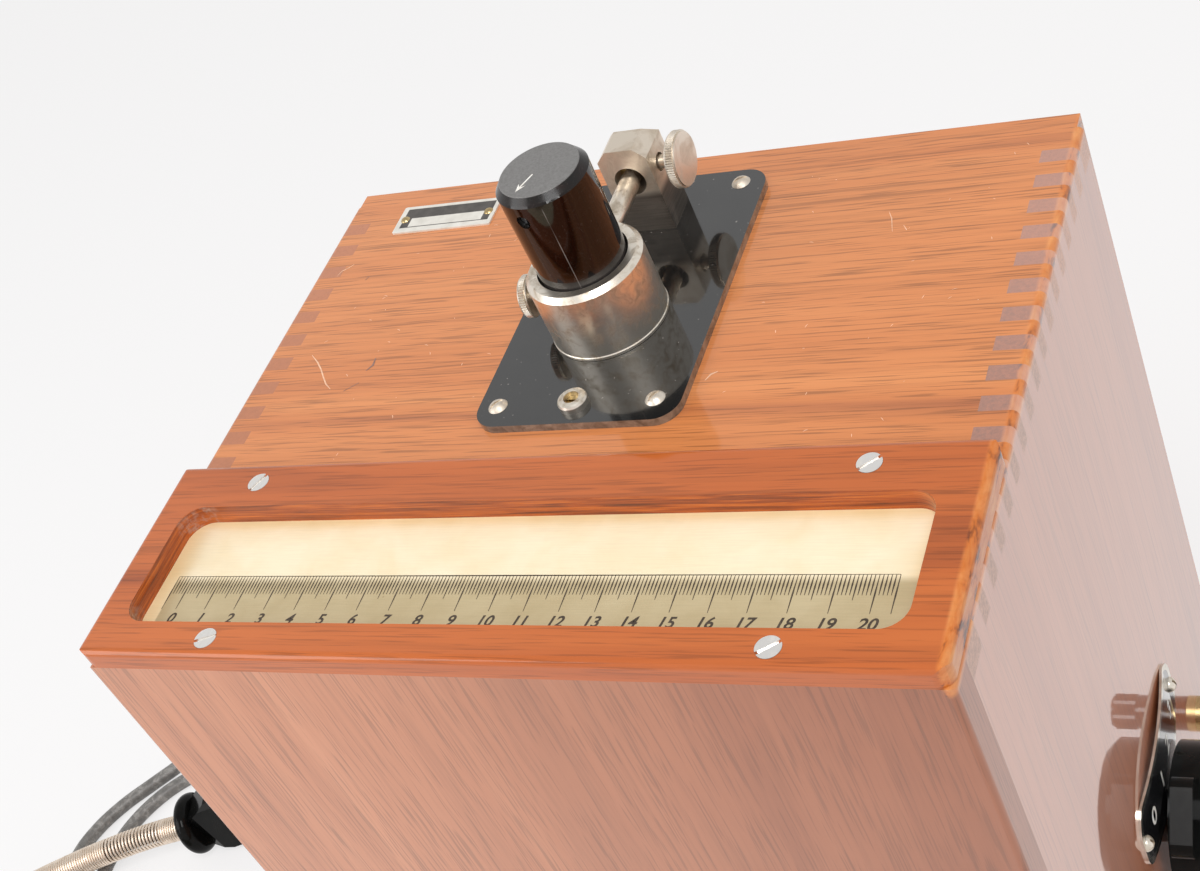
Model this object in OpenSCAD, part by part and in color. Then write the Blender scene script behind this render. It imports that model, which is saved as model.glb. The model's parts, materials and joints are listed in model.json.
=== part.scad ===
// Light-spot galvanometer in a finger-jointed hardwood case.
// Millimetres, +Z up, the front (scale) side faces -Y.
// The origin is the centre of the case's footprint, on the underside of the base board.

/* [Case] */
// Outer width of the case
case_w = 243; // [225:1:280]
// Depth of the jointed box, without the back board
box_d = 193; // [185:1:230]
// Height of the case, from the table to its wooden top
case_h = 300; // [285:1:340]
// Thickness of the case boards
board_t = 10; // [9:0.5:12]
// Thickness of the screwed back board
back_t = 6; // [5:0.5:9]
// Step of the back board inside each side face
back_inset = 1.6; // [0.5:0.1:3]
// Rounding of the case's outer edges
edge_r = 1.8; // [1:0.1:3.5]
// Width of one finger of the corner joints
finger_w = 5.285; // [4.5:0.1:7]
// Distance from the front face to the first finger of a side board
finger_start = 20; // [14:0.5:26]

/* [Scale and its frame] */
// Depth of the wooden scale frame
frame_d = 68.5; // [66:0.5:72]
// Thickness of the scale frame
frame_t = 6.6; // [5.5:0.1:9]
// Rounding of the frame's top edges
frame_round = 2; // [1:0.1:3.2]
// Corner radius of the frame seen from above
frame_corner = 4; // [3:0.5:6]
// Wood of the frame beside each end of the window
window_side = 10.6; // [10.5:0.1:16]
// Depth of the scale window
window_d = 41.2; // [36:0.2:42]
// Distance from the case's front face to the window
window_front = 11; // [10.8:0.1:12]
// Corner radius of the window
window_r = 7; // [4:0.5:9]
// Ledge under each end of the window, beside the opening for the light
light_ledge = 3.4; // [3:0.1:8]
// Thickness of the translucent scale
scale_t = 3; // [2:0.5:4]
// How far the scale reaches under the frame on each side
scale_lap = 3; // [2:0.25:4]

/* [Adjusting head] */
// Distance of the head's axis from the front face
head_from_front = 124.6; // [120:0.2:130]
// Offset of the head from the middle of the case
head_x = -1.2; // [-4:0.2:4]
// Width of the black head plate
plate_w = 62.8; // [60:0.2:74]
// Depth of the black head plate
plate_d = 103.6; // [102:0.2:108]
// Thickness of the head plate
plate_t = 2.5; // [2:0.1:4]
// Corner radius of the head plate
plate_r = 7.5; // [4:0.5:9]
// Radius of the torsion knob
knob_r = 13.4; // [13:0.1:13.8]
// Radius of the knob's foot, in the collar
knob_foot_r = 12.7; // [12:0.1:12.9]
// Height of the knob's top above the head plate
knob_top = 54; // [46:0.5:62]
// Chamfer on the knob's top rim
knob_chamfer = 2; // [0.8:0.1:2.4]
// Outer radius of the clamping collar
collar_r = 17.3; // [16.8:0.1:19]
// Height of the clamping collar
collar_h = 22.4; // [21:0.2:24]
// Radius of the collar's upper recess
collar_bore_r = 13.5; // [13.4:0.05:14.2]
// Height of the collar's floor, which turns on the hub
collar_floor = 6; // [4:0.5:8]
// Outer radius of the hub
hub_r = 8; // [7:0.1:9.5]
// Radius of the torsion spindle
spindle_r = 3; // [2.5:0.1:3.8]
// Radius of the collar's arm
arm_r = 3; // [2.4:0.1:3.4]
// Width of the guide block
block_w = 15.6; // [14.4:0.1:18]
// Depth of the guide block
block_d = 13.2; // [12.8:0.1:16]
// Height of the guide block
block_h = 29.4; // [27:0.1:32]
// Chamfer on the block's upper edges
block_chamfer = 3.4; // [2:0.1:3.8]
// Distance from the head's axis to the middle of the block
block_reach = 44.6; // [40:0.2:46]
// Radius of the block's bore for the arm
block_bore_r = 4.8; // [4.6:0.1:5.2]
// Height of the arm above the head plate
arm_h = 18.4; // [17.9:0.1:18.6]
// Height of the fine screw above the arm's axis
fine_rise = 1.1; // [0:0.1:1.2]
// Radius of the fine screw's shank
fine_r = 2; // [1.6:0.1:2.4]
// Radius of the fine screw's knurled head
fine_head_r = 8.4; // [7:0.1:9]
// Thickness of the fine screw's head
fine_head_t = 3.3; // [2.8:0.1:6]
// Gap between the fine screw's head and the block
fine_head_gap = 4.9; // [2.2:0.1:6]
// Radius of the clamp screw's knurled head
clamp_head_r = 6.3; // [5:0.1:7]

/* [Side controls] */
// Distance of the selector's axis from the front face
selector_from_front = 103.5; // [98:0.5:108]
// Depth of the selector's axis below the case top
selector_drop = 202; // [196:1:210]
// Radius of the selector knob
selector_r = 24; // [20:0.5:26]
// Outer face of the selector knob above the side board
selector_out = 18.4; // [16:0.2:22]
// Length of the nickel dial plate
dial_w = 64; // [60:0.5:72]
// Height of the dial plate
dial_h = 25.5; // [23:0.5:28]
// Height of the dial plate's middle above the selector's axis
dial_rise = 29; // [28:0.5:34]
// How far the dial plate's middle is bowed off the side board
dial_bow = 1.8; // [0.4:0.1:2]
// Radius of a terminal's cap
terminal_r = 6; // [5:0.1:6.6]
// Length of a terminal outside the side board
terminal_out = 28; // [24:0.5:32]
// Distance of each terminal from the selector's axis, front to back
terminal_reach = 52; // [46:0.5:56]
// Depth of the terminals below the selector's axis
terminal_drop = 17; // [8:0.5:20]

/* [Movement and optics] */
// Drop from the case top to the mirror of the moving coil
mirror_drop = 82; // [78:1:96]
// Radius of the moving coil's mirror
mirror_r = 5; // [4:0.5:6]
// Radius of the soft-iron core
core_r = 7.5; // [6:0.1:8]
// Radius of the pole pieces' bore
pole_bore_r = 12; // [11.6:0.1:13]
// Height of the magnet and its pole pieces
magnet_h = 24; // [20:1:28]
// Outer radius of the lamp tube
lamp_tube_r = 13; // [11:0.5:15]

/* [Inlet and cord] */
// Height of the inlet's axis above the table
inlet_z = 45; // [38:1:60]
// Distance of the inlet from the left side face
inlet_from_side = 51.5; // [48:0.5:70]
// Radius of an inlet pin
pin_r = 2; // [1.8:0.1:2.2]
// Distance between the inlet's pins
pin_pitch = 19; // [18:0.5:20]
// Length of an inlet pin outside its floor
pin_len = 16; // [14:0.5:18]
// Radius of the cable
cable_r = 3.3; // [2.8:0.1:3.5]
// Radius of the spring that guards the cable
guard_r = 6; // [5:0.1:6.2]
// Radius of the connector's round flange
flange_r = 14.3; // [13:0.1:14.3]
// Turns of stored cable
coil_turns = 7; // [5:1:9]

/* [Hidden] */
$fn = 48;

// Clearances
run_fit = 0.05;       // radial play of a turning shaft
seat_fit = 0.05;      // play of a fixed pin in its hole
body_gap = 0.3;       // gap between pieces of different bodies

// Planes of the case
front_y = -(box_d + back_t) / 2;
box_back_y = front_y + box_d;
side_x = case_w / 2;
inner_x = side_x - board_t;
inner_front_y = front_y + board_t;
plate_z = case_h + plate_t;

// Fingers of the side boards, counted from the first one to the last that fits
finger_pitch = 2 * finger_w;
finger_n = floor((box_d - finger_start - finger_w - 1) / finger_pitch) + 1;
finger_ys = [for (k = [0 : finger_n - 1]) front_y + finger_start + k * finger_pitch];

// Window of the scale
window_x = -0.7;
window_w = case_w - 2 * window_side;
light_w = window_w - 2 * light_ledge;
window_y = front_y + window_front;
frame_back_y = front_y + frame_d;
frame_screw_r = 3.3;
frame_screw_spots = [
    [-side_x + 30.7, frame_back_y - 7.3], [side_x - 30.7, frame_back_y - 7.3],
    [-side_x + 42, front_y + 5.6], [side_x - 42, front_y + 5.6]];

// Adjusting head
head_y = front_y + head_from_front;
plate_x = head_x + 0.9;                // the plate sits a little right of the head's axis
plate_front_y = head_y - 41.3;
plate_screw_half = 24.3;
plate_screw_spots = [for (sx = [-1, 1], y = [plate_front_y + 7.9, plate_front_y + plate_d - 5.9])
    [head_x + sx * plate_screw_half, y]];
plate_screw_r = 2.9;
bush_y = plate_front_y + 7.4;
bush_r = 4.3;
bush_body_r = 3.9;
bush_h = 2.6;
bush_bore_r = 2.25;
hub_tail = 8;                       // how far the hub reaches below the top board
collar_gap = 0.1;
collar_z = plate_z + collar_gap;
arm_z = plate_z + arm_h;
arm_x = head_x + 1;                    // the arm lies a little right of the head's axis
block_floor = 2;                       // wall left behind the arm's blind bore
arm_len = block_reach - collar_r + block_d / 2 - block_floor - 1;
knob_z = collar_z + collar_floor + body_gap + 2.2;
spindle_low_z = case_h - board_t - hub_tail - 16;
block_y = head_y + block_reach;
tongue_half = 0.6;                  // half thickness of the arm's milled end
fine_tip_x = arm_x + tongue_half + body_gap;
fine_z = arm_z + fine_rise;
fine_head_x = arm_x + block_w / 2 + fine_head_gap;
thread_pitch = 0.5;

// Movement, measured down from the case top
mirror_z = case_h - mirror_drop;
magnet_top_z = mirror_z - 16;
magnet_low_z = magnet_top_z - magnet_h;
coil_bar = 2.2;                     // thickness of the coil's bars
coil_gap = 1.2;                     // play between core and coil
coil_half_w = core_r + coil_gap + coil_bar;
coil_top_z = magnet_top_z + 4;
coil_low_z = magnet_low_z - 4;
shelf_z = coil_low_z - 16;
shelf_t = 4;
yoke_y = head_y + 26;               // front face of the movement's back plate
yoke_t = 4;

// Side controls
selector_y = front_y + selector_from_front;
selector_z = case_h - selector_drop;
dial_z = selector_z + dial_rise;
terminal_z = selector_z - terminal_drop;
dial_t = 0.8;
shaft_r = 3;

// Stored cable: the coil's middle radius is 5.5 cable diameters, its section three cables wide
coil_r = 11 * cable_r;
coil_rows = ceil(coil_turns / 3);
coil_x = -368 + coil_r + 2 * cable_r;
coil_y = -62;
cord_gap = 0.25;      // between a cord's end and the face that it meets

// The guard's route, out of the connector, and the cable's free route to the coil
guard_route = [[-336.2, 24.4, 14.4], [-349.5, 19.7, 14.4], [-363.5, 13.6, 14.4], [-379, 5.6, 14.2],
    [-394.5, -3.1, 13.6], [-410, -12, 12.4]];
cable_route = [
    [-410, -12, 12.4], [-425.5, -21.5, 10.3], [-439, -34.5, 7.4], [-444, -50, 5], [-440, -65.5, 3.7],
    [-428.5, -77, 3.4], [-413, -81, 3.4], [-397.5, -77, 3.4], [-386, -65.5, 3.4], [-382, -50, 3.4],
    [-384.5, -34, 3.4], [-391.5, -19, 3.4], [-399, -4, 3.4], [-402.5, 11, 3.4], [-399, 26, 3.4],
    [-391, 40, 3.4], [-380, 53, 3.4], [-369, 66.5, 3.4], [-361.5, 83, 3.4], [-359, 101, 3.4],
    [-355, 117, 3.4], [-344, 128, 3.4], [-329, 132, 3.4], [-314, 128, 3.4], [-303, 117, 3.4],
    [-299, 102, 3.4], [-303, 87, 3.4], [-315, 77, 3.4], [-330, 71.5, 3.4], [-346, 66, 3.4],
    [-360, 57.5, 3.4], [-371, 46.5, 3.4], [-379, 32, 3.4], [-382.5, 15, 3.4], [-381, -5, 3.4],
    [-375.5, -25, 3.4], [-370, -43, 3.4], [-368, -62, 3.4]];
// The tail from the coil to the plug
tail_route = [[-325.1, -104.9, 16.6], [-309, -105.2, 13.6], [-293, -104.5, 8.4], [-277, -102.5, 4.4],
    [-262, -99, 4.4], [-248, -94.5, 8], [-235, -90, 13], [-222, -86, 16]];
plug_pos = [-222, -86, 16];
plug_turn = 17;
plug_r = 15.9;
connector_turn = 19;
connector_len = 38;
connector_half_t = 8.7;
connector_half_w = 16.5;
connector_neck = 10;
connector_flare = 13;
flange_t = 7.5;
// The connector stands on its narrow side, on its flange's rim and on the corner where its flare ends
connector_tilt = -asin((connector_half_w - flange_r) / (connector_flare + flange_t / 2));

// Rounded rectangle of true arcs, centred
module round_rect(w, d, r) {
    square([w - 2 * r, d], center = true);
    square([w, d - 2 * r], center = true);
    for (sx = [-1, 1], sy = [-1, 1])
        translate([sx * (w / 2 - r), sy * (d / 2 - r)]) circle(r);
}

// A prism with rounded corners standing on z = 0
module round_slab(w, d, h, r) {
    linear_extrude(height = h) round_rect(w, d, r);
}

// A bar profile with its two upper corners rounded, from z = 0 to h
module crowned_profile(w, h, r) {
    translate([-w / 2, 0]) square([w, h - r]);
    translate([-w / 2 + r, 0]) square([w - 2 * r, h]);
    for (s = [-1, 1])
        translate([s * (w / 2 - r), h - r]) circle(r);
}

// Everything inside the case's outer skin, with its rounded long top edges and front corners
module inside_skin() {
    intersection() {
        translate([0, box_back_y + 1, 0]) rotate([90, 0, 0])
            linear_extrude(height = box_d + 2) crowned_profile(case_w, case_h, edge_r);
        translate([0, (front_y + box_back_y) / 2 + 5, -1])
            round_slab(case_w, box_d + 10, case_h + 2, edge_r);
        children();
    }
}

// A straight-knurled disc on z = 0, with a plain step at each rim
module knurled_disc(r, h, teeth, step = 0.5, tooth = 0.35) {
    translate([0, 0, step]) linear_extrude(height = h - 2 * step)
        polygon([for (i = [0 : 2 * teeth - 1])
            let (a = 180 * i / teeth, q = i % 2 == 0 ? r : r - tooth) [q * cos(a), q * sin(a)]]);
    cylinder(r = r - tooth - 0.25, h = h);
}

// A countersunk slotted screw: its flat face is at z = 0 and it points down
module countersunk_screw(r, length, shank) {
    difference() {
        union() {
            translate([0, 0, -r * 0.55]) cylinder(r1 = shank, r2 = r, h = r * 0.55);
            translate([0, 0, -length]) cylinder(r = shank, h = length - r * 0.55 + 0.01);
        }
        translate([0, 0, 0]) cube([2 * r + 1, 0.9, 1.4], center = true);
    }
}

// The hole for that screw, cut from above
module countersink(r, length, shank) {
    translate([0, 0, -r * 0.55])
        cylinder(r1 = shank + seat_fit, r2 = r + seat_fit * 2, h = r * 0.55 + 0.01);
    translate([0, 0, -length - 0.5]) cylinder(r = shank + seat_fit, h = length);
}

// A round-head slotted screw: the underside of its head is at z = 0
module round_screw(r, h, length, shank) {
    ball = (r * r + h * h) / (2 * h);
    difference() {
        union() {
            intersection() {
                translate([0, 0, h - ball]) sphere(r = ball);
                cylinder(r = r, h = h);
            }
            translate([0, 0, -length]) cylinder(r = shank, h = length + 0.01);
        }
        translate([0, 0, h]) cube([2 * r + 1, 0.8, h], center = true);
    }
}

// The plain hole for a screw's shank
module shank_hole(length, shank) {
    translate([0, 0, -length - 0.5]) cylinder(r = shank + seat_fit, h = length + 1.5);
}

// The seat of the translucent scale, cut into the top board and the front board
module scale_bed(play = 0) {
    translate([window_x, window_y + window_d / 2, case_h - scale_t - play])
        round_slab(window_w + 2 * (scale_lap + play), window_d + 2 * (scale_lap + play),
            scale_t + play + 1, 2);
}

module side_fingers(s) {
    for (y = finger_ys)
        translate([s > 0 ? inner_x : -side_x, y, case_h - board_t])
            cube([board_t, finger_w, board_t]);
}

module top_panel() {
    color("peru") difference() {
        inside_skin()
            translate([-side_x, inner_front_y, case_h - board_t])
                cube([case_w, box_back_y - inner_front_y, board_t]);
        for (s = [-1, 1]) side_fingers(s);
        scale_bed();
        translate([window_x - light_w / 2, inner_front_y - 1, case_h - board_t - 1])
            cube([light_w, window_y + window_d - inner_front_y + 1, board_t + 2]);
        translate([head_x, head_y, case_h - board_t - 1]) cylinder(r = hub_r + seat_fit, h = board_t + 2);
        translate([head_x, bush_y, case_h - board_t - 1])
            cylinder(r = bush_body_r + seat_fit, h = board_t + 2);
        for (p = plate_screw_spots) translate([p[0], p[1], plate_z]) shank_hole(9, 1.5);
        for (i = [0, 1])
            translate([frame_screw_spots[i][0], frame_screw_spots[i][1], case_h + frame_t])
                shank_hole(frame_t + 8, 1.6);
        for (p = owner_pin_spots) translate([p[0], p[1], case_h + owner_t]) shank_hole(4, 0.7);
    }
}

module side_panel(s) {
    difference() {
        inside_skin() union() {
            translate([s > 0 ? inner_x : -side_x, inner_front_y, 0])
                cube([board_t, box_back_y - inner_front_y, case_h - board_t]);
            side_fingers(s);
        }
        scale_bed();
        if (s > 0) side_holes();
    }
}

// Holes of the right side board: selector shaft, terminals and dial screws
module side_holes() {
    translate([inner_x - 1, selector_y, selector_z]) rotate([0, 90, 0])
        cylinder(r = shaft_r + 2 + seat_fit, h = board_t + 2);
    for (s = [-1, 1])
        translate([inner_x - 1, selector_y + s * terminal_reach, terminal_z]) rotate([0, 90, 0])
            cylinder(r = 3 + seat_fit, h = board_t + 2);
    for (y = dial_screw_ys)
        translate([side_x + dial_t, y, dial_z]) rotate([0, 90, 0]) shank_hole(8, 1.3);
}

module side_panel_left() {
    color("sienna") side_panel(-1);
}

module side_panel_right() {
    color("sienna") side_panel(1);
}

module front_panel() {
    color("sienna") difference() {
        inside_skin()
            translate([-side_x, front_y, 0]) cube([case_w, board_t, case_h]);
        scale_bed();
        for (i = [2, 3])
            translate([frame_screw_spots[i][0], frame_screw_spots[i][1], case_h + frame_t])
                shank_hole(frame_t + 10, 1.6);
    }
}

back_screw_spots = [for (sx = [-1, 1], z = [board_t / 2 + 6, case_h / 2, case_h - 18])
    [sx * (side_x - board_t / 2), z]];

module back_board() {
    color("saddlebrown") difference() {
        translate([-side_x + back_inset, box_back_y, 0]) cube([case_w - 2 * back_inset, back_t, case_h]);
        for (p = back_screw_spots)
            translate([p[0], box_back_y + back_t, p[1]]) rotate([-90, 0, 0])
                countersink(3.3, back_t + 1, 1.6);
        translate([inlet_x, box_back_y - 1, inlet_z]) rotate([-90, 0, 0])
            linear_extrude(height = back_t + 2) round_rect(inlet_w + 2 * seat_fit, inlet_h + 2 * seat_fit, 4);
        for (s = [-1, 1])
            translate([inlet_x + s * inlet_screw_reach, box_back_y + back_t + inlet_flange_t, inlet_z])
                rotate([-90, 0, 0]) shank_hole(9, 1.3);
    }
}

module back_screws() {
    color("silver") for (p = back_screw_spots)
        translate([p[0], box_back_y + back_t, p[1]]) rotate([-90, 0, 0])
            countersunk_screw(3.3, back_t - 0.3, 1.6);
}

module base_board() {
    color("saddlebrown")
        translate([-inner_x, inner_front_y, 0]) cube([2 * inner_x, box_back_y - inner_front_y, board_t]);
}

module scale_frame() {
    mid_y = (front_y + frame_back_y) / 2;
    color("chocolate") difference() {
        translate([0, mid_y, case_h]) intersection() {
            translate([0, frame_d / 2, 0]) rotate([90, 0, 0])
                linear_extrude(height = frame_d) crowned_profile(case_w, frame_t, frame_round);
            rotate([90, 0, 90]) translate([0, 0, -side_x])
                linear_extrude(height = case_w) crowned_profile(frame_d, frame_t, frame_round);
            round_slab(case_w, frame_d, frame_t, frame_corner);
        }
        translate([window_x, window_y + window_d / 2, case_h - 1])
            round_slab(window_w, window_d, frame_t + 2, window_r);
        for (p = frame_screw_spots)
            translate([p[0], p[1], case_h + frame_t]) countersink(frame_screw_r, frame_t + 1, 1.6);
    }
}

module frame_screws() {
    color("silver") for (i = [0 : 3])
        translate([frame_screw_spots[i][0], frame_screw_spots[i][1], case_h + frame_t])
            rotate([0, 0, [62, 40, 20, 35][i]]) countersunk_screw(frame_screw_r, frame_t + 6, 1.6);
}

module scale_plate() {
    color("ivory") intersection() {
        scale_bed();
        translate([-side_x, front_y, case_h - scale_t]) cube([case_w, frame_d, scale_t]);
    }
}

module head_plate() {
    color("black") difference() {
        translate([plate_x, plate_front_y + plate_d / 2, case_h])
            round_slab(plate_w, plate_d, plate_t, plate_r);
        translate([head_x, head_y, case_h - 1]) cylinder(r = hub_r + seat_fit, h = plate_t + 2);
        translate([head_x, bush_y, case_h - 1]) cylinder(r = bush_body_r + seat_fit, h = plate_t + 2);
        for (p = plate_screw_spots) translate([p[0], p[1], plate_z]) shank_hole(plate_t + 1, 1.5);
    }
}

module head_plate_screws() {
    color("silver") for (i = [0 : 3])
        translate([plate_screw_spots[i][0], plate_screw_spots[i][1], plate_z])
            rotate([0, 0, [48, 15, 55, 30][i]]) round_screw(plate_screw_r, 1.6, plate_t + 6, 1.5);
}

// Nickel bush in the front of the head plate, a ring with a rounded rim
module mark_bush() {
    color("silver") translate([head_x, bush_y, 0]) difference() {
        union() {
            translate([0, 0, plate_z]) rotate_extrude()
                polygon([[0, 0], [bush_r, 0], [bush_r, bush_h - 0.9], [bush_r - 0.3, bush_h - 0.3],
                    [bush_r - 0.9, bush_h], [0, bush_h]]);
            translate([0, 0, case_h - board_t]) cylinder(r = bush_body_r, h = board_t + plate_t + 0.01);
        }
        translate([0, 0, case_h - board_t - 1]) cylinder(r = bush_bore_r, h = board_t + plate_t + bush_h + 2);
    }
}

// Slotted spindle in the bush, with the eccentric disc that tips the light mark
module mark_spindle() {
    low = case_h - board_t;
    color("gold") translate([head_x, bush_y, 0]) {
        difference() {
            translate([0, 0, low - 1.3])
                cylinder(r = bush_bore_r - run_fit, h = plate_z + bush_h - 1.4 - low + 1.3);
            translate([0, 0, plate_z + bush_h - 1.4]) cube([6, 0.8, 1.6], center = true);
        }
        translate([1, 0, low - 5]) cylinder(r = 5, h = 5 - body_gap);
    }
}

// Brass hub: a flange on the plate, the journal of the collar above, a threaded tail below
module hub() {
    color("gold") translate([head_x, head_y, 0]) difference() {
        translate([0, 0, case_h - board_t - hub_tail])
            cylinder(r = hub_r, h = board_t + hub_tail + plate_t + body_gap + collar_floor + 0.8);
        translate([0, 0, case_h - board_t - hub_tail - 1])
            cylinder(r = spindle_r + run_fit, h = board_t + hub_tail + plate_t + collar_floor + 5);
    }
}

module hub_nut() {
    color("gold") translate([head_x, head_y, case_h - board_t - 5]) difference() {
        cylinder(r = hub_r + 4.5, h = 5, $fn = 6);
        translate([0, 0, -1]) cylinder(r = hub_r + seat_fit, h = 7);
    }
}

// Nickel collar that clamps the knob: recess above, floor on the hub, lip at the foot
module clamping_collar() {
    color("silver") difference() {
        translate([head_x, head_y, collar_z]) difference() {
            rotate_extrude()
                polygon([[0, 0], [collar_r + 0.2, 0], [collar_r + 0.2, 0.8], [collar_r, 1.1],
                    [collar_r, collar_h - 1.6], [collar_r - 1.4, collar_h], [0, collar_h]]);
            translate([0, 0, -1]) cylinder(r = hub_r + run_fit, h = collar_floor + 2);
            translate([0, 0, collar_floor]) cylinder(r = collar_bore_r, h = collar_h);
        }
        translate([arm_x, head_y, arm_z]) rotate([-90, 0, 0])
            cylinder(r = arm_r - 0.6 + seat_fit, h = collar_r + 5);
        clamp_place() translate([0, 0, -1]) cylinder(r = 1.6 + seat_fit, h = 12);
    }
}

// The clamp screw's axis: it points outwards, with z = 0 on the collar's recess wall
clamp_turn = 186;
clamp_z = collar_z + 12.4;
module clamp_place() {
    translate([head_x, head_y, clamp_z]) rotate([0, 0, clamp_turn]) rotate([0, 90, 0])
        translate([0, 0, collar_bore_r - 1]) children();
}

// Arm of the collar: shouldered into the wall, its end milled from both sides to a thin blade
module collar_arm() {
    shoulder = block_reach - block_d / 2 - 0.6;
    cutter_r = 6;
    color("silver") translate([arm_x, head_y, arm_z]) rotate([-90, 0, 0]) {
        translate([0, 0, collar_bore_r + 0.2]) cylinder(r = arm_r - 0.6, h = collar_r - collar_bore_r);
        difference() {
            translate([0, 0, collar_r + 0.05]) cylinder(r = arm_r, h = arm_len);
            for (s = [-1, 1]) translate([s * (tongue_half + cutter_r), -10, 0]) rotate([-90, 0, 0]) {
                translate([0, -shoulder - 5, 0]) cylinder(r = cutter_r, h = 20);
                translate([-cutter_r, -shoulder - 35, 0]) cube([2 * cutter_r, 30, 20]);
            }
        }
    }
}

module clamp_screw() {
    color("silver") clamp_place() {
        tip = knob_r_at(clamp_z + 1.6) + body_gap;
        head = collar_r + 1.6;
        translate([0, 0, tip - collar_bore_r + 1]) cylinder(r = 1.6, h = head + 1 - tip);
        translate([0, 0, head - collar_bore_r + 1]) knurled_disc(clamp_head_r, 2.7, 54, 0.5, 0.3);
    }
}

// Tall bakelite knob, a little wider at its chamfered top than at its foot, with the spindle's bore
function knob_r_at(z) =
    knob_foot_r + (knob_r - knob_foot_r) * (z - knob_z) / (plate_z + knob_top - 1.25 * knob_chamfer - knob_z);
module torsion_knob() {
    top = plate_z + knob_top;
    color([0.16, 0.1, 0.08]) difference() {
        translate([head_x, head_y, knob_z]) rotate_extrude()
            polygon([[0, 0], [knob_foot_r, 0], [knob_r, top - knob_z - 1.25 * knob_chamfer],
                [knob_r - knob_chamfer, top - knob_z], [0, top - knob_z]]);
        translate([head_x, head_y, knob_z - 1]) cylinder(r = spindle_r + seat_fit, h = 33);
        set_screw_place() translate([0, 0, -1]) cylinder(r = 2.05, h = 14);
    }
}

// The set screw's axis in the knob, pointing outwards from the spindle
set_screw_turn = 257;
module set_screw_place() {
    translate([head_x, head_y, plate_z + knob_top - 7.2]) rotate([0, 0, set_screw_turn])
        rotate([0, 90, 0]) translate([0, 0, spindle_r + seat_fit]) children();
}

module knob_set_screw() {
    color("dimgray") set_screw_place() difference() {
        cylinder(r = 1.95, h = 8.6);
        translate([0, 0, 8.6]) cube([6, 0.7, 1.6], center = true);
    }
}

// Spindle through the hub, with the clamp of the suspension at its lower end
module torsion_spindle() {
    color("silver") translate([head_x, head_y, 0]) {
        translate([0, 0, spindle_low_z]) cylinder(r = spindle_r, h = knob_z + 31 - spindle_low_z);
        difference() {
            translate([0, 0, spindle_low_z + 1]) cylinder(r = 5.5, h = 9);
            translate([5.5, 0, spindle_low_z + 5]) cube([3, 12, 10], center = true);
        }
    }
}

// Square nickel post, chamfered at the top on all sides but the arm's, with the arm's blind bore
module guide_block() {
    color("silver") translate([arm_x, block_y, plate_z]) difference() {
        intersection() {
            translate([0, block_d / 2, 0]) rotate([90, 0, 0]) linear_extrude(height = block_d)
                polygon([[-block_w / 2, 0], [block_w / 2, 0], [block_w / 2, block_h - block_chamfer],
                    [block_w / 2 - block_chamfer, block_h], [-block_w / 2 + block_chamfer, block_h],
                    [-block_w / 2, block_h - block_chamfer]]);
            translate([-block_w, 0, 0]) rotate([90, 0, 90]) linear_extrude(height = 2 * block_w)
                polygon([[-block_d, -1], [block_d / 2, -1], [block_d / 2, block_h - block_chamfer],
                    [block_d / 2 - block_chamfer, block_h], [-block_d, block_h]]);
        }
        translate([0, -block_d, arm_h]) rotate([-90, 0, 0])
            cylinder(r = block_bore_r, h = 1.5 * block_d - block_floor);
        translate([0, 0, arm_h + fine_rise]) rotate([0, 90, 0]) {
            cylinder(r = fine_r + run_fit, h = block_w);
            translate([0, 0, block_w / 2 - 1.2]) cylinder(r = fine_r + 0.8, h = 2);
        }
        translate([-block_w, 0, arm_h]) rotate([0, 90, 0]) cylinder(r = plunger_r + run_fit, h = block_w);
    }
}

module fine_screw_shank() {
    color("silver") translate([0, block_y, fine_z]) rotate([0, 90, 0])
        translate([0, 0, fine_tip_x]) cylinder(r = fine_r, h = fine_head_x - fine_tip_x - 0.05);
}

module fine_screw_head() {
    color("silver") translate([fine_head_x, block_y, fine_z]) rotate([0, 90, 0])
        knurled_disc(fine_head_r, fine_head_t, 72, 0.6, 0.3);
}

// Sprung pin that keeps the arm on the fine screw, with its spring in a cap on the block
plunger_r = 1.8;
plunger_len = 5.6;
plunger_tip_x = arm_x - tongue_half - body_gap;
spring_cap_len = 2.2;
spring_cap_x = arm_x - block_w / 2 - spring_cap_len;
module arm_plunger() {
    color("gold") translate([plunger_tip_x - plunger_len, block_y, arm_z]) rotate([0, 90, 0])
        cylinder(r = plunger_r, h = plunger_len);
}

// The spring ends short of the pin by the arm's travel
module plunger_spring() {
    low = spring_cap_x + 0.8;
    color("lightgray") translate([low, block_y, arm_z]) rotate([0, 90, 0]) difference() {
        cylinder(r = plunger_r - 0.2, h = plunger_tip_x - plunger_len - 1.7 - low);
        translate([0, 0, -1]) cylinder(r = plunger_r - 0.8, h = 20);
    }
}

module spring_cap() {
    color("silver") translate([spring_cap_x, block_y, arm_z]) rotate([0, 90, 0]) difference() {
        cylinder(r = plunger_r + 0.9, h = spring_cap_len);
        translate([0, 0, 0.8]) cylinder(r = plunger_r + run_fit, h = spring_cap_len);
    }
}

owner_t = 0.6;
owner_w = 36.8;
owner_d = 12.9;
owner_mid = [-side_x + 40.1, box_back_y - 10];
owner_pin_spots = [for (s = [-1, 1]) [owner_mid[0] + s * (owner_w / 2 - 2.6), owner_mid[1]]];

module owner_plate() {
    color("gainsboro") difference() {
        translate([owner_mid[0], owner_mid[1], case_h]) round_slab(owner_w, owner_d, owner_t, 0.6);
        for (p = owner_pin_spots) translate([p[0], p[1], case_h + owner_t]) shank_hole(2, 0.7);
    }
}

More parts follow.
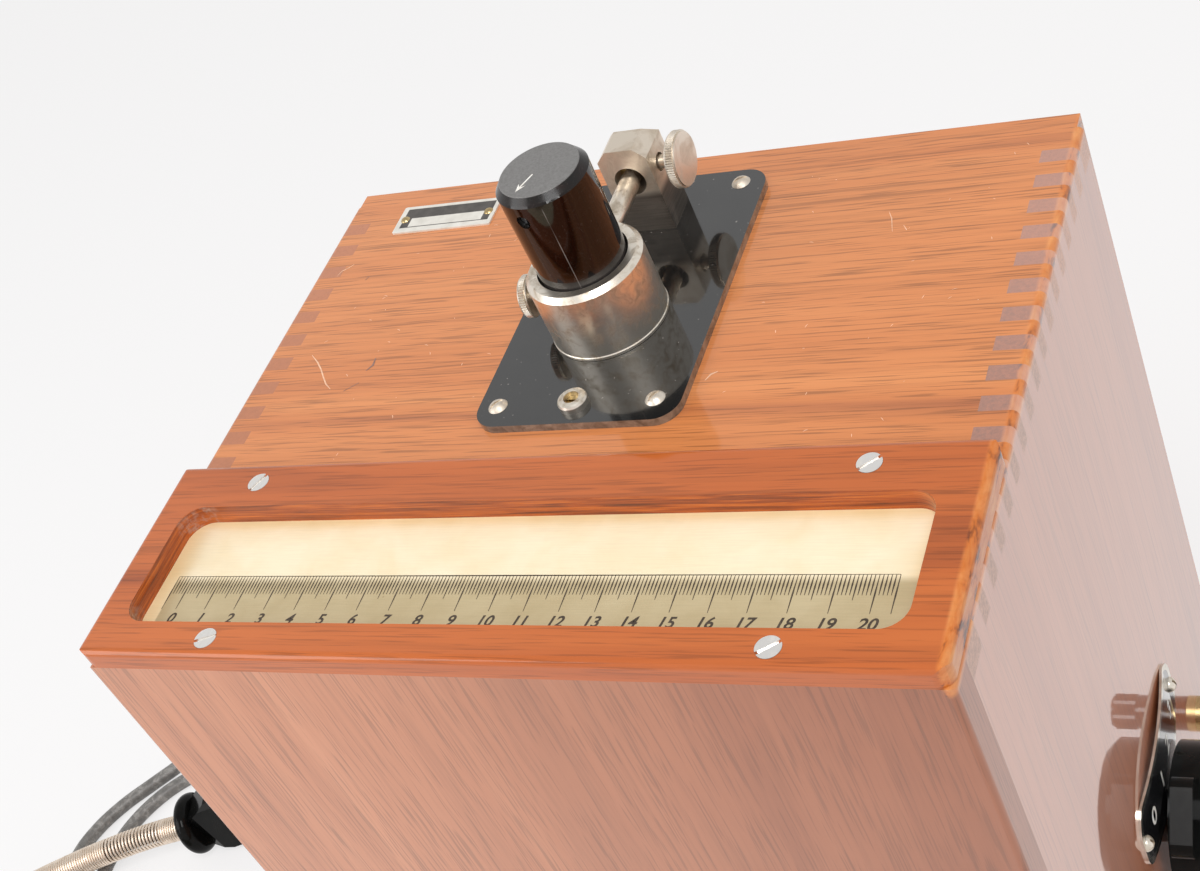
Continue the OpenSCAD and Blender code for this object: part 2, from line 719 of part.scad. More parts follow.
module owner_plate_pins() {
    color("gold") for (p = owner_pin_spots)
        translate([p[0], p[1], case_h + owner_t]) {
            intersection() {
                translate([0, 0, -1.2]) sphere(r = 2);
                cylinder(r = 1.7, h = 2);
            }
            translate([0, 0, -4]) cylinder(r = 0.7, h = 4.01);
        }
}

// Brass frame of the movement: a foot under the top board, a back plate and a lower shelf
module movement_frame() {
    top = case_h - board_t;
    color("gold") difference() {
        union() {
            translate([head_x - 22, head_y + 14, top - 4]) cube([44, yoke_y + yoke_t - head_y - 14, 4]);
            translate([head_x - 22, yoke_y, shelf_z]) cube([44, yoke_t, top - shelf_z]);
            translate([head_x - 14, head_y - 10, shelf_z]) cube([28, yoke_y - head_y + 10, shelf_t]);
        }
        for (s = [-1, 1]) translate([head_x + s * 16, yoke_y - 4, top]) shank_hole(6, 1.6);
    }
}

// U-shaped magnet, open to the front, against the movement frame's back plate
magnet_arm_in = 22;
magnet_arm_out = 32;
module magnet() {
    color("dimgray") translate([head_x, head_y, magnet_low_z]) difference() {
        translate([-magnet_arm_out, -14, 0]) cube([2 * magnet_arm_out, yoke_y - head_y + 14, magnet_h]);
        translate([-magnet_arm_in, -15, -1]) cube([2 * magnet_arm_in, 15 + 16, magnet_h + 2]);
    }
}

module pole_pieces() {
    color("gray") translate([head_x, head_y, magnet_low_z]) for (s = [-1, 1]) intersection() {
        difference() {
            translate([-magnet_arm_in, -9, 0]) cube([2 * magnet_arm_in, 18, magnet_h]);
            translate([0, 0, -1]) cylinder(r = pole_bore_r, h = magnet_h + 2);
        }
        translate([s > 0 ? 6 : -40, -20, -1]) cube([34, 40, magnet_h + 2]);
    }
}

// Core in the middle of the coil, held by a brass stud from the magnet's back
module iron_core() {
    color("lightslategray") translate([head_x, head_y, magnet_low_z]) {
        translate([0, 0, 2]) cylinder(r = core_r, h = magnet_h - 4);
        translate([0, 0, magnet_h / 2]) rotate([-90, 0, 0]) cylinder(r = 2.5, h = 16);
    }
}

// Wound coil: a tall closed frame round the core, with a stem for the mirror
module moving_coil() {
    height = coil_top_z - coil_low_z;
    color("darkred") translate([head_x, head_y, coil_low_z]) {
        difference() {
            translate([0, 0, height / 2]) cube([2 * coil_half_w, 3.2, height], center = true);
            translate([0, 0, height / 2])
                cube([2 * (coil_half_w - coil_bar), 5, height - 2 * coil_bar], center = true);
        }
        translate([0, 0, height]) cylinder(r = 0.8, h = mirror_z + 8 - coil_top_z);
        translate([0, 0, -3]) cylinder(r = 0.8, h = 3);
    }
}

module coil_mirror() {
    color("lightcyan") translate([head_x, head_y - 0.8 - 0.05, mirror_z]) rotate([90, 0, 0])
        cylinder(r = mirror_r, h = 0.8);
}

// Flat suspension strips above and below the coil
module strip(low, high) {
    translate([head_x - 0.3, head_y - 0.1, low]) cube([0.6, 0.2, high - low]);
}

module suspension_strips() {
    color("gold") {
        strip(mirror_z + 8, spindle_low_z - body_gap);
        strip(shelf_z + shelf_t + body_gap, coil_low_z - 3);
    }
}

// Lamp: a stand on the base board, a slanted tube aimed at the mirror, lens, socket and bulb
lamp_from = [head_x - 62, head_y - 68];
lamp_turn = atan2(head_y - lamp_from[1], head_x - lamp_from[0]);
tube_len = 52;
module lamp_place() {
    translate([lamp_from[0], lamp_from[1], mirror_z]) rotate([0, 0, lamp_turn]) rotate([0, 90, 0]) children();
}

module lamp_stand() {
    color("gold") difference() {
        translate([lamp_from[0], lamp_from[1], board_t]) rotate([0, 0, lamp_turn]) {
            translate([6, -12, 0]) cube([28, 24, 3]);
            translate([16, -5, 0]) cube([8, 10, mirror_z - board_t - lamp_tube_r + 3]);
            translate([12, -16, mirror_z - board_t - lamp_tube_r - 2]) cube([16, 32, 14]);
        }
        lamp_place() translate([0, 0, -1]) cylinder(r = lamp_tube_r + seat_fit, h = tube_len);
    }
}

module lamp_tube() {
    color("dimgray") lamp_place() difference() {
        cylinder(r = lamp_tube_r, h = tube_len);
        translate([0, 0, -1]) cylinder(r = lamp_tube_r - 1.5, h = tube_len + 2);
    }
}

module lamp_lens() {
    color("lightcyan") lamp_place() translate([0, 0, tube_len - 7]) intersection() {
        cylinder(r = lamp_tube_r - 1.5 - seat_fit, h = 6);
        translate([0, 0, 6 - 30]) sphere(r = 30);
    }
}

module lamp_socket() {
    color([0.12, 0.1, 0.1]) lamp_place() difference() {
        union() {
            translate([0, 0, -10]) cylinder(r = lamp_tube_r, h = 9.9);
            translate([0, 0, -0.2]) cylinder(r = lamp_tube_r - 1.5 - seat_fit, h = 6.2);
        }
        translate([0, 0, -4]) cylinder(r = 4.6, h = 12);
    }
}

module lamp_bulb() {
    color("lightyellow") lamp_place() {
        translate([0, 0, -3.9]) cylinder(r = 4.55, h = 14);
        translate([0, 0, 14]) sphere(r = 6.5);
    }
}

// Fixed mirrors that fold the light: right front, low rear, and the slanted one below the scale
fold_a = [head_x + 62, head_y - 60];
fold_turn = atan2(head_y - fold_a[1], head_x - fold_a[0]);
fold_rear_y = box_back_y - 24;
mirror_t = 3;
scale_mirror_y = window_y + window_d / 2;
module light_mirrors() {
    color("lightcyan") {
        translate([fold_a[0], fold_a[1], mirror_z - 20]) rotate([0, 0, fold_turn])
            translate([-mirror_t, -15, 0]) cube([mirror_t, 30, 40]);
        translate([head_x + 20, fold_rear_y, board_t + 12]) cube([60, mirror_t, 50]);
        translate([head_x - 90, scale_mirror_y - 14, board_t + 28]) rotate([45, 0, 0])
            cube([180, 30, mirror_t]);
    }
}

module mirror_stands() {
    color("black") {
        translate([fold_a[0], fold_a[1], board_t]) rotate([0, 0, fold_turn]) {
            translate([-mirror_t - 6, -8, 0]) cube([6, 16, mirror_z + 10 - board_t]);
            translate([-mirror_t - 12, -12, 0]) cube([6, 24, 4]);
        }
        translate([head_x + 40, fold_rear_y + mirror_t, board_t]) cube([20, 8, 56]);
        for (s = [-1, 1])
            translate([head_x + s * 70 - 5, scale_mirror_y - 14, board_t]) difference() {
                cube([10, 21.2, 49]);
                translate([-1, 0, 28]) rotate([45, 0, 0]) cube([12, 60, 60]);
            }
    }
}

// Mains transformer on the base board
transformer_at = [-side_x + 59.5, box_back_y - 41.5];
module transformer_core() {
    color("gray") translate([transformer_at[0], transformer_at[1], board_t]) difference() {
        translate([-27, -11, 0]) cube([54, 22, 45]);
        for (s = [-1, 1]) translate([s * 13.5 - 4.5, -12, 9]) cube([9, 24, 27]);
    }
}

module transformer_winding() {
    color("peru") translate([transformer_at[0], transformer_at[1], board_t + 9.1]) difference() {
        round_slab(35.8, 38, 26.8, 4);
        translate([0, 0, 13.4]) cube([18.1, 22.1, 40], center = true);
    }
}

// Round bakelite knob of the sensitivity selector, with its finger tongue
selector_home = 33.7;
module selector_knob() {
    base = 3.2;
    tongue_z = base + 2.1;
    reach = 31;
    color([0.08, 0.07, 0.07]) translate([side_x, selector_y, selector_z]) rotate([selector_home, 0, 0])
        rotate([0, 90, 0]) difference() {
            union() {
                translate([0, 0, base]) rotate_extrude()
                    polygon([[0, 0], [selector_r, 0], [selector_r, selector_out - base - 3],
                        [selector_r - 3, selector_out - base], [0, selector_out - base]]);
                translate([0, 0, tongue_z]) linear_extrude(height = 6.6) union() {
                    translate([-reach, -8]) square([reach, 16]);
                    translate([-reach + 4, -12]) square([reach - 4, 24]);
                    for (s = [-1, 1]) translate([-reach + 4, s * 8]) circle(4);
                    circle(12);
                }
                translate([0, 0, 1]) cylinder(r = 8, h = 4);
            }
            translate([0, 0, -1]) cylinder(r = shaft_r + seat_fit, h = 13);
        }
}

module selector_shaft() {
    color("silver") translate([0, selector_y, selector_z]) rotate([0, 90, 0])
        translate([0, 0, inner_x - 20]) cylinder(r = shaft_r, h = board_t + 20 + 11);
}

// Wafer switch behind the side board, with the threaded bush that holds it
module selector_switch() {
    color([0.35, 0.2, 0.12]) translate([inner_x, selector_y, selector_z]) rotate([0, 90, 0]) difference() {
        union() {
            translate([0, 0, -3]) cylinder(r = 20, h = 3);
            translate([0, 0, -14]) cylinder(r = 17, h = 3);
            for (a = [45, 225]) rotate([0, 0, a]) translate([14, 0, -11.5]) cylinder(r = 2, h = 9);
            translate([0, 0, -0.5]) cylinder(r = shaft_r + 2, h = board_t + 0.5 + 0.8);
        }
        translate([0, 0, -20]) cylinder(r = shaft_r + run_fit, h = 40);
    }
}

dial_y = selector_y + 0.25;
dial_screw_in = 3;
dial_screw_ys = [for (s = [-1, 1]) dial_y + s * (dial_w / 2 - dial_screw_in)];
// Nickel plate bowed off the board between its two flat, screwed ends
module dial_plate() {
    half = dial_w / 2 - 2 * dial_screw_in;
    bow_r = (half * half + dial_bow * dial_bow) / (2 * dial_bow);
    color("silver") difference() {
        translate([side_x, dial_y, dial_z]) intersection() {
            rotate([90, 0, 90]) linear_extrude(height = dial_bow + 2 * dial_t) round_rect(dial_w, dial_h, 9);
            translate([0, 0, -dial_h]) linear_extrude(height = 2 * dial_h) union() {
                intersection() {
                    translate([dial_bow - bow_r, 0]) difference() {
                        circle(bow_r + dial_t, $fn = 240);
                        circle(bow_r, $fn = 240);
                    }
                    translate([0, -half - 1]) square([dial_bow + dial_t, 2 * half + 2]);
                }
                for (s = [0, 1]) mirror([0, s]) translate([0, half]) square([dial_t, dial_w]);
            }
        }
        for (y = dial_screw_ys)
            translate([side_x + dial_t, y, dial_z]) rotate([0, 90, 0]) shank_hole(3, 1.3);
    }
}

module dial_screws() {
    color("silver") for (y = dial_screw_ys)
        translate([side_x + dial_t, y, dial_z]) rotate([0, 90, 0]) round_screw(2.5, 2, 7, 1.3);
}

// Two terminals: studs through the side board, with insulating bases
module terminal_bases() {
    color("gold") for (s = [-1, 1])
        translate([0, selector_y + s * terminal_reach, terminal_z]) rotate([0, 90, 0]) {
            translate([0, 0, inner_x - 10]) cylinder(r = 3, h = board_t + 10);
            translate([0, 0, inner_x - 3]) cylinder(r = 5.5, h = 3, $fn = 6);
            translate([0, 0, side_x]) cylinder(r = terminal_r, h = 3);
            translate([0, 0, side_x]) cylinder(r = 2, h = terminal_out - 12);
        }
}

module terminal_cap(s) {
    color("black") translate([side_x + 3 + body_gap, selector_y + s * terminal_reach, terminal_z])
        rotate([0, 90, 0]) difference() {
            union() {
                cylinder(r = terminal_r - 0.2, h = terminal_out - 12.3);
                translate([0, 0, terminal_out - 12.3]) knurled_disc(terminal_r, 9, 18, 0.8, 0.5);
            }
            translate([0, 0, -1]) cylinder(r = 2 + run_fit, h = terminal_out - 13.5);
            translate([0, 0, terminal_out - 13.3]) cylinder(r = 2, h = 15);
        }
}

module terminal_cap_front() {
    terminal_cap(-1);
}

module terminal_cap_rear() {
    terminal_cap(1);
}

// Shrouded inlet on the back board, with its two pins
inlet_x = -side_x + inlet_from_side;
inlet_w = 40;
inlet_h = 22;
inlet_deep = 22;
inlet_flange_t = 3;
inlet_screw_reach = 26;
module inlet() {
    back = box_back_y + back_t;
    floor_z = inlet_flange_t - inlet_deep;
    color([0.1, 0.08, 0.07]) translate([inlet_x, back, inlet_z]) rotate([-90, 0, 0]) {
        difference() {
            union() {
                linear_extrude(height = inlet_flange_t) round_rect(62, 30, 6);
                translate([0, 0, floor_z]) linear_extrude(height = inlet_deep)
                    round_rect(inlet_w, inlet_h, 4);
            }
            translate([0, 0, floor_z + 3]) linear_extrude(height = inlet_deep)
                round_rect(inlet_w - 4, inlet_h - 4, 3);
            for (s = [-1, 1]) translate([s * inlet_screw_reach, 0, inlet_flange_t])
                shank_hole(inlet_flange_t + 1, 1.3);
        }
        for (s = [-1, 1])
            translate([s * pin_pitch / 2, 0, floor_z + 2.9]) cylinder(r = pin_r, h = pin_len);
        for (s = [-1, 1])
            translate([s * inlet_screw_reach, 0, inlet_flange_t]) round_screw(2.6, 1.5, 8, 1.3);
    }
}

// Points of a smooth curve through a route, with a given number of steps between points
function spline_point(a, b, c, d, t) =
    0.5 * (2 * b + (c - a) * t + (2 * a - 5 * b + 4 * c - d) * t * t + (3 * b - a - 3 * c + d) * t * t * t);
function smooth_route(p, steps) = concat(
    [for (i = [0 : len(p) - 2], k = [0 : steps - 1])
        let (a = i == 0 ? 2 * p[0] - p[1] : p[i - 1],
             d = i == len(p) - 2 ? 2 * p[i + 1] - p[i] : p[i + 2])
        spline_point(a, p[i], p[i + 1], d, k / steps)],
    [p[len(p) - 1]]);
function unit(v) = v / norm(v);

// A round tube swept along a route, closed at both ends
module swept_tube(route, r, sides, steps) {
    p = smooth_route(route, steps);
    n = len(p);
    rings = [for (i = [0 : n - 1])
        let (t = unit(p[min(i + 1, n - 1)] - p[max(i - 1, 0)]),
             s = unit(cross(t, [0, 0, 1])),
             u = cross(s, t))
        for (k = [0 : sides - 1])
            p[i] + r * (cos(360 * k / sides) * s + sin(360 * k / sides) * u)];
    walls = [for (i = [0 : n - 2], k = [0 : sides - 1])
        [i * sides + k, (i + 1) * sides + k, (i + 1) * sides + (k + 1) % sides, i * sides + (k + 1) % sides]];
    caps = [[for (k = [0 : sides - 1]) k], [for (k = [sides - 1 : -1 : 0]) (n - 1) * sides + k]];
    polyhedron(points = rings, faces = concat(caps, walls), convexity = 8);
}

// Bakelite appliance connector: thick round flange at the cable's end, faceted body with two sockets
module connector() {
    back = cord_gap + flange_t - 0.1;
    len = connector_len;
    low = connector_half_t;
    wide = connector_half_w;
    neck = connector_neck;
    flare = connector_flare;
    color([0.08, 0.07, 0.07]) translate(guard_route[0]) rotate([90, connector_tilt, connector_turn])
      difference() {
        union() {
            translate([cord_gap, 0, 0]) rotate([0, 90, 0]) rotate_extrude() intersection() {
                hull() {
                    translate([flange_r - flange_t / 2, flange_t / 2]) circle(flange_t / 2);
                    square([1, flange_t]);
                }
                square([flange_r, flange_t]);
            }
            intersection() {
                translate([back, 0, -low]) linear_extrude(height = 2 * low)
                    polygon([[0, -neck], [flare, -wide], [len, -wide],
                        [len, wide], [flare, wide], [0, neck]]);
                translate([back, 20, 0]) rotate([90, 0, 0]) linear_extrude(height = 40)
                    polygon([[0, -6.5], [5, -low], [len - 2, -low], [len, 1 - low], [len, low - 1],
                        [len - 2, low], [5, low], [0, 6.5]]);
                translate([back, 0, 0]) rotate([90, 0, 90]) linear_extrude(height = len)
                    polygon([[-wide, 2 - low], [-wide + 2, -low], [wide - 2, -low], [wide, 2 - low],
                        [wide, low - 2], [wide - 2, low], [-wide + 2, low], [-wide, low - 2]]);
            }
        }
        for (s = [-1, 1]) translate([back + len - pin_len, s * pin_pitch / 2, 0]) rotate([0, 90, 0])
            cylinder(r = pin_r + 0.1, h = pin_len + 1);
    }
}

module cable_guard() {
    color("silver") swept_tube(guard_route, guard_r, 12, 2);
}

module mains_cable() {
    color("dimgray") {
        swept_tube(cable_route, cable_r, 8, 2);
        swept_tube(tail_route, cable_r, 8, 1);
    }
}

module cable_coil() {
    color("dimgray") translate([coil_x, coil_y, 0]) rotate_extrude()
        translate([coil_r - 3 * cable_r + 0.2, 0.1])
            square([6 * cable_r - 0.4, 2 * cable_r * coil_rows - 0.2]);
}

// Round two-pin plug lying on its side
module mains_plug() {
    color([0.08, 0.07, 0.07]) translate(plug_pos) rotate([0, 0, plug_turn]) rotate([0, 90, 0]) {
        rotate_extrude()
            polygon([[0, cord_gap], [4.8, cord_gap], [6.6, 10], [plug_r - 2, 17], [plug_r, 20], [plug_r, 36],
                [plug_r - 1, 37], [0, 37]]);
        for (s = [-1, 1]) translate([s * 9.5, 0, 36.9]) {
            cylinder(r = 2, h = 18);
            translate([0, 0, 18]) sphere(r = 2);
        }
    }
}

top_panel();
side_panel_left();
side_panel_right();
front_panel();
back_board();
base_board();
back_screws();
scale_frame();
frame_screws();
scale_plate();
head_plate();
head_plate_screws();
mark_bush();
mark_spindle();
hub();
hub_nut();
clamping_collar();
collar_arm();
clamp_screw();
torsion_knob();
knob_set_screw();
torsion_spindle();
guide_block();
fine_screw_shank();
fine_screw_head();
arm_plunger();
plunger_spring();
spring_cap();
owner_plate();
owner_plate_pins();
movement_frame();
magnet();
pole_pieces();
iron_core();
moving_coil();
coil_mirror();
suspension_strips();
lamp_stand();
lamp_tube();
lamp_lens();
lamp_socket();
lamp_bulb();
light_mirrors();
mirror_stands();
transformer_core();
transformer_winding();
selector_knob();
selector_shaft();
selector_switch();
dial_plate();
dial_screws();
terminal_bases();
terminal_cap_front();
terminal_cap_rear();
inlet();
connector();
cable_guard();
mains_cable();
cable_coil();
mains_plug();
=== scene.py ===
# Light-spot galvanometer in a lacquered mahogany case: materials, fine pieces, light and view.
import json
import math
import random

import bmesh
import bpy
from mathutils import Matrix, Vector


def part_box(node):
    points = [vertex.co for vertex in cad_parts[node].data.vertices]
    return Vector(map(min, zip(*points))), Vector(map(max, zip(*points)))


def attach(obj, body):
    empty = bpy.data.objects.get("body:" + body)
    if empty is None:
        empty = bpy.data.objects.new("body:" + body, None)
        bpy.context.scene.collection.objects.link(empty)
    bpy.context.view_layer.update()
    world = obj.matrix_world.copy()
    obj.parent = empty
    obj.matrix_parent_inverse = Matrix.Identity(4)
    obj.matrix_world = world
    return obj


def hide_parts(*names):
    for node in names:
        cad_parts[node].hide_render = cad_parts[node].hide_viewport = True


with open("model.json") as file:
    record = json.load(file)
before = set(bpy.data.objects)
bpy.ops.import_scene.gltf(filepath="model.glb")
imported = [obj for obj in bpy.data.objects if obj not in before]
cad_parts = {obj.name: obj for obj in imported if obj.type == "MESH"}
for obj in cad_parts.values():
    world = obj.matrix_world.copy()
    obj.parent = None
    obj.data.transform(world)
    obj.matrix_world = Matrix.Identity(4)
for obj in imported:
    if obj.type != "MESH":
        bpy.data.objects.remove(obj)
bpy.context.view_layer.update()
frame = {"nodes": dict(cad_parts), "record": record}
nodes = frame["nodes"]
scene = bpy.context.scene
MM = 0.001

# View: where the photograph was taken from, solved from the case's edges
CAMERA_AT = Vector((0.2452, -0.3339, 0.6158))
CAMERA_RIGHT = Vector((0.8830, 0.3001, -0.3608))
CAMERA_UP = Vector((0.0374, 0.7213, 0.6916))
FOCAL_MM = 56.9
SENSOR_MM = 36

# Corners of the nodes that materials and print are set out from, in metres like all lengths here
SCALE_LOW, SCALE_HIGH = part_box("scale_plate")
KNOB_LOW, KNOB_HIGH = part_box("torsion_knob")
TAG_LOW, TAG_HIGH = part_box("owner_plate")
DIAL_LOW, DIAL_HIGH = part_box("dial_plate")
CASE_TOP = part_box("top_panel")[1].z
CASE_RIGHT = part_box("side_panel_right")[1].x
PLATE_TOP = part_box("head_plate")[1].z
COLLAR_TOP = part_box("clamping_collar")[1].z
SCALE_TOP = SCALE_HIGH.z
KNOB_TOP = KNOB_HIGH.z
KNOB_AT = (KNOB_LOW + KNOB_HIGH) / 2

# Direction of the painted highlight line round the knob's axis, a bright streak standing in for a lamp's
# reflection, and height of the block's darker foot
HIGHLIGHT_LINE_ANGLE = math.radians(-72)
BLOCK_DARK_H = 0.0135

# The scale's print: line behind the divisions, their lengths, and the numbers in front of them
SCALE_LEFT = -0.1070
SCALE_LINE_Y = -0.0674
DIVISION = 0.001
DIVISIONS = 210
TICK_SHORT = 0.0062
TICK_MIDDLE = 0.0077
TICK_LONG = 0.0116
TICK_W = 0.00042
NUMBER_TOP = 0.0129
NUMBER_H = 0.0033
NUMBER_SLANT = 0.22
NUMBER_WEIGHT = 0.0001
PRINT_LIFT = 0.00004

# Dial plate on the right side: its outline, its middle, and the bow between its flat ends
DIAL_CORNER = 0.009
DIAL_BORDER = 0.0018
DIAL_Y = (DIAL_LOW.y + DIAL_HIGH.y) / 2
DIAL_Z = (DIAL_LOW.z + DIAL_HIGH.z) / 2
DIAL_HALF = 0.026
DIAL_T = 0.0008
DIAL_BOW = DIAL_HIGH.x - CASE_RIGHT - DIAL_T
DIAL_R = (DIAL_HALF ** 2 + DIAL_BOW ** 2) / (2 * DIAL_BOW) + DIAL_T
DIAL_NUMBER_H = 0.0062
DIAL_NUMBER_STEP = 0.013
DIAL_NUMBERS = 4

# Lead: its sizes, the guard's and cable's routes and the stored coil, as the solids have them
CABLE_R = 0.0033
TABLE_GAP = 0.0001
GUARD_R = 0.006
GUARD_ROUTE = [(-0.3362, 0.0244, 0.0144), (-0.3495, 0.0197, 0.0144), (-0.3635, 0.0136, 0.0144),
               (-0.379, 0.0056, 0.0142), (-0.3945, -0.0031, 0.0136), (-0.41, -0.012, 0.0124)]
CABLE_ROUTE = [(-0.41, -0.012, 0.0124), (-0.4255, -0.0215, 0.0103), (-0.439, -0.0345, 0.0074),
               (-0.444, -0.05, 0.005), (-0.44, -0.0655, 0.0037), (-0.4285, -0.077, 0.0034),
               (-0.413, -0.081, 0.0034), (-0.3975, -0.077, 0.0034), (-0.386, -0.0655, 0.0034),
               (-0.382, -0.05, 0.0034), (-0.3845, -0.034, 0.0034), (-0.3915, -0.019, 0.0034),
               (-0.399, -0.004, 0.0034), (-0.4025, 0.011, 0.0034), (-0.399, 0.026, 0.0034),
               (-0.391, 0.04, 0.0034), (-0.38, 0.053, 0.0034), (-0.369, 0.0665, 0.0034),
               (-0.3615, 0.083, 0.0034), (-0.359, 0.101, 0.0034), (-0.355, 0.117, 0.0034),
               (-0.344, 0.128, 0.0034), (-0.329, 0.132, 0.0034), (-0.314, 0.128, 0.0034),
               (-0.303, 0.117, 0.0034), (-0.299, 0.102, 0.0034), (-0.303, 0.087, 0.0034),
               (-0.315, 0.077, 0.0034), (-0.33, 0.0715, 0.0034), (-0.346, 0.066, 0.0034),
               (-0.36, 0.0575, 0.0034), (-0.371, 0.0465, 0.0034), (-0.379, 0.032, 0.0034),
               (-0.3825, 0.015, 0.0034), (-0.381, -0.005, 0.0034), (-0.3755, -0.025, 0.0034),
               (-0.37, -0.043, 0.0034), (-0.368, -0.062, 0.0034)]
COIL_R = 11 * CABLE_R
COIL_TURNS = 7.25
COIL_STEPS = 32
COIL_AT = Vector((-0.368 + COIL_R + 2 * CABLE_R, -0.062, 0))
TAIL_ROUTE = [(-0.3251, -0.1049, 0.0166), (-0.309, -0.1052, 0.0136), (-0.293, -0.1045, 0.0084),
              (-0.277, -0.1025, 0.0044), (-0.262, -0.099, 0.0044), (-0.248, -0.0945, 0.008),
              (-0.235, -0.09, 0.013), (-0.222, -0.086, 0.016)]


# Point of the smooth curve from b to c, at a share t of the way
def spline_point(a, b, c, d, t):
    slope = (c - a) * t
    square = (2 * a - 5 * b + 4 * c - d) * t * t
    cube = (3 * b - a - 3 * c + d) * t ** 3
    return 0.5 * (2 * b + slope + square + cube)


# Smooth curve through a route's points
def smooth(route, steps):
    p = [Vector(q) for q in route]
    p = [2 * p[0] - p[1]] + p + [2 * p[-1] - p[-2]]
    out = []
    for i in range(1, len(p) - 2):
        out += [spline_point(p[i - 1], p[i], p[i + 1], p[i + 2], k / steps) for k in range(steps)]
    return out + [p[-2]]


# Turns of the stored coil: three turns inwards, three outwards above them, then one more on top.
# Each turn passes to the next one's ring and row in its last part.
def coil_points():
    rings = [2, 0, -2, -2, 0, 2, 2]
    rows = [0, 0, 0, 1, 1, 1, 2]
    last = len(rings) - 1
    passing_from = 0.7
    out = []
    for k in range(1, int(COIL_TURNS * COIL_STEPS)):
        turn = k / COIL_STEPS
        i = min(int(turn), last)
        j = min(i + 1, last)
        ease = max(0, (turn - i - passing_from) / (1 - passing_from))
        ring = rings[i] + (rings[j] - rings[i]) * ease
        row = rows[i] + (rows[j] - rows[i]) * ease
        angle = math.pi + 2 * math.pi * turn
        radius = COIL_R + ring * CABLE_R
        height = CABLE_R * (1 + 2 * row) + TABLE_GAP
        out.append(COIL_AT + Vector((radius * math.cos(angle), radius * math.sin(angle), height)))
    return out


def link(obj, body="case"):
    scene.collection.objects.link(obj)
    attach(obj, body)
    return obj


# Round tube along points, as a mesh
def tube(name, points, radius, sides=6):
    data = bpy.data.curves.new(name + "_line", "CURVE")
    data.dimensions = "3D"
    data.bevel_depth = radius
    data.bevel_resolution = sides // 2
    data.use_fill_caps = True
    line = data.splines.new("POLY")
    line.points.add(len(points) - 1)
    for i, p in enumerate(points):
        line.points[i].co = (*p, 1)
    line.use_smooth = True
    holder = bpy.data.objects.new(name + "_line", data)
    mesh = bpy.data.meshes.new_from_object(holder)
    bpy.data.objects.remove(holder)
    return bpy.data.objects.new(name, mesh)


def make_camera():
    data = bpy.data.cameras.new("view")
    data.lens = FOCAL_MM
    data.sensor_width = SENSOR_MM
    data.clip_start = 0.01
    cam = bpy.data.objects.new("view", data)
    right = CAMERA_RIGHT.normalized()
    up = (CAMERA_UP - CAMERA_UP.dot(right) * right).normalized()
    back = right.cross(up)
    turn = Matrix((right, up, back)).transposed()
    cam.matrix_world = Matrix.Translation(CAMERA_AT) @ turn.to_4x4()
    scene.collection.objects.link(cam)
    scene.camera = cam


make_camera()
guard_line = smooth(GUARD_ROUTE, 6)
free_line = smooth(CABLE_ROUTE, 6)
cable_points = guard_line[:-1] + free_line + coil_points() + smooth(TAIL_ROUTE, 4)
cable = link(tube("cable", cable_points, CABLE_R, 10))


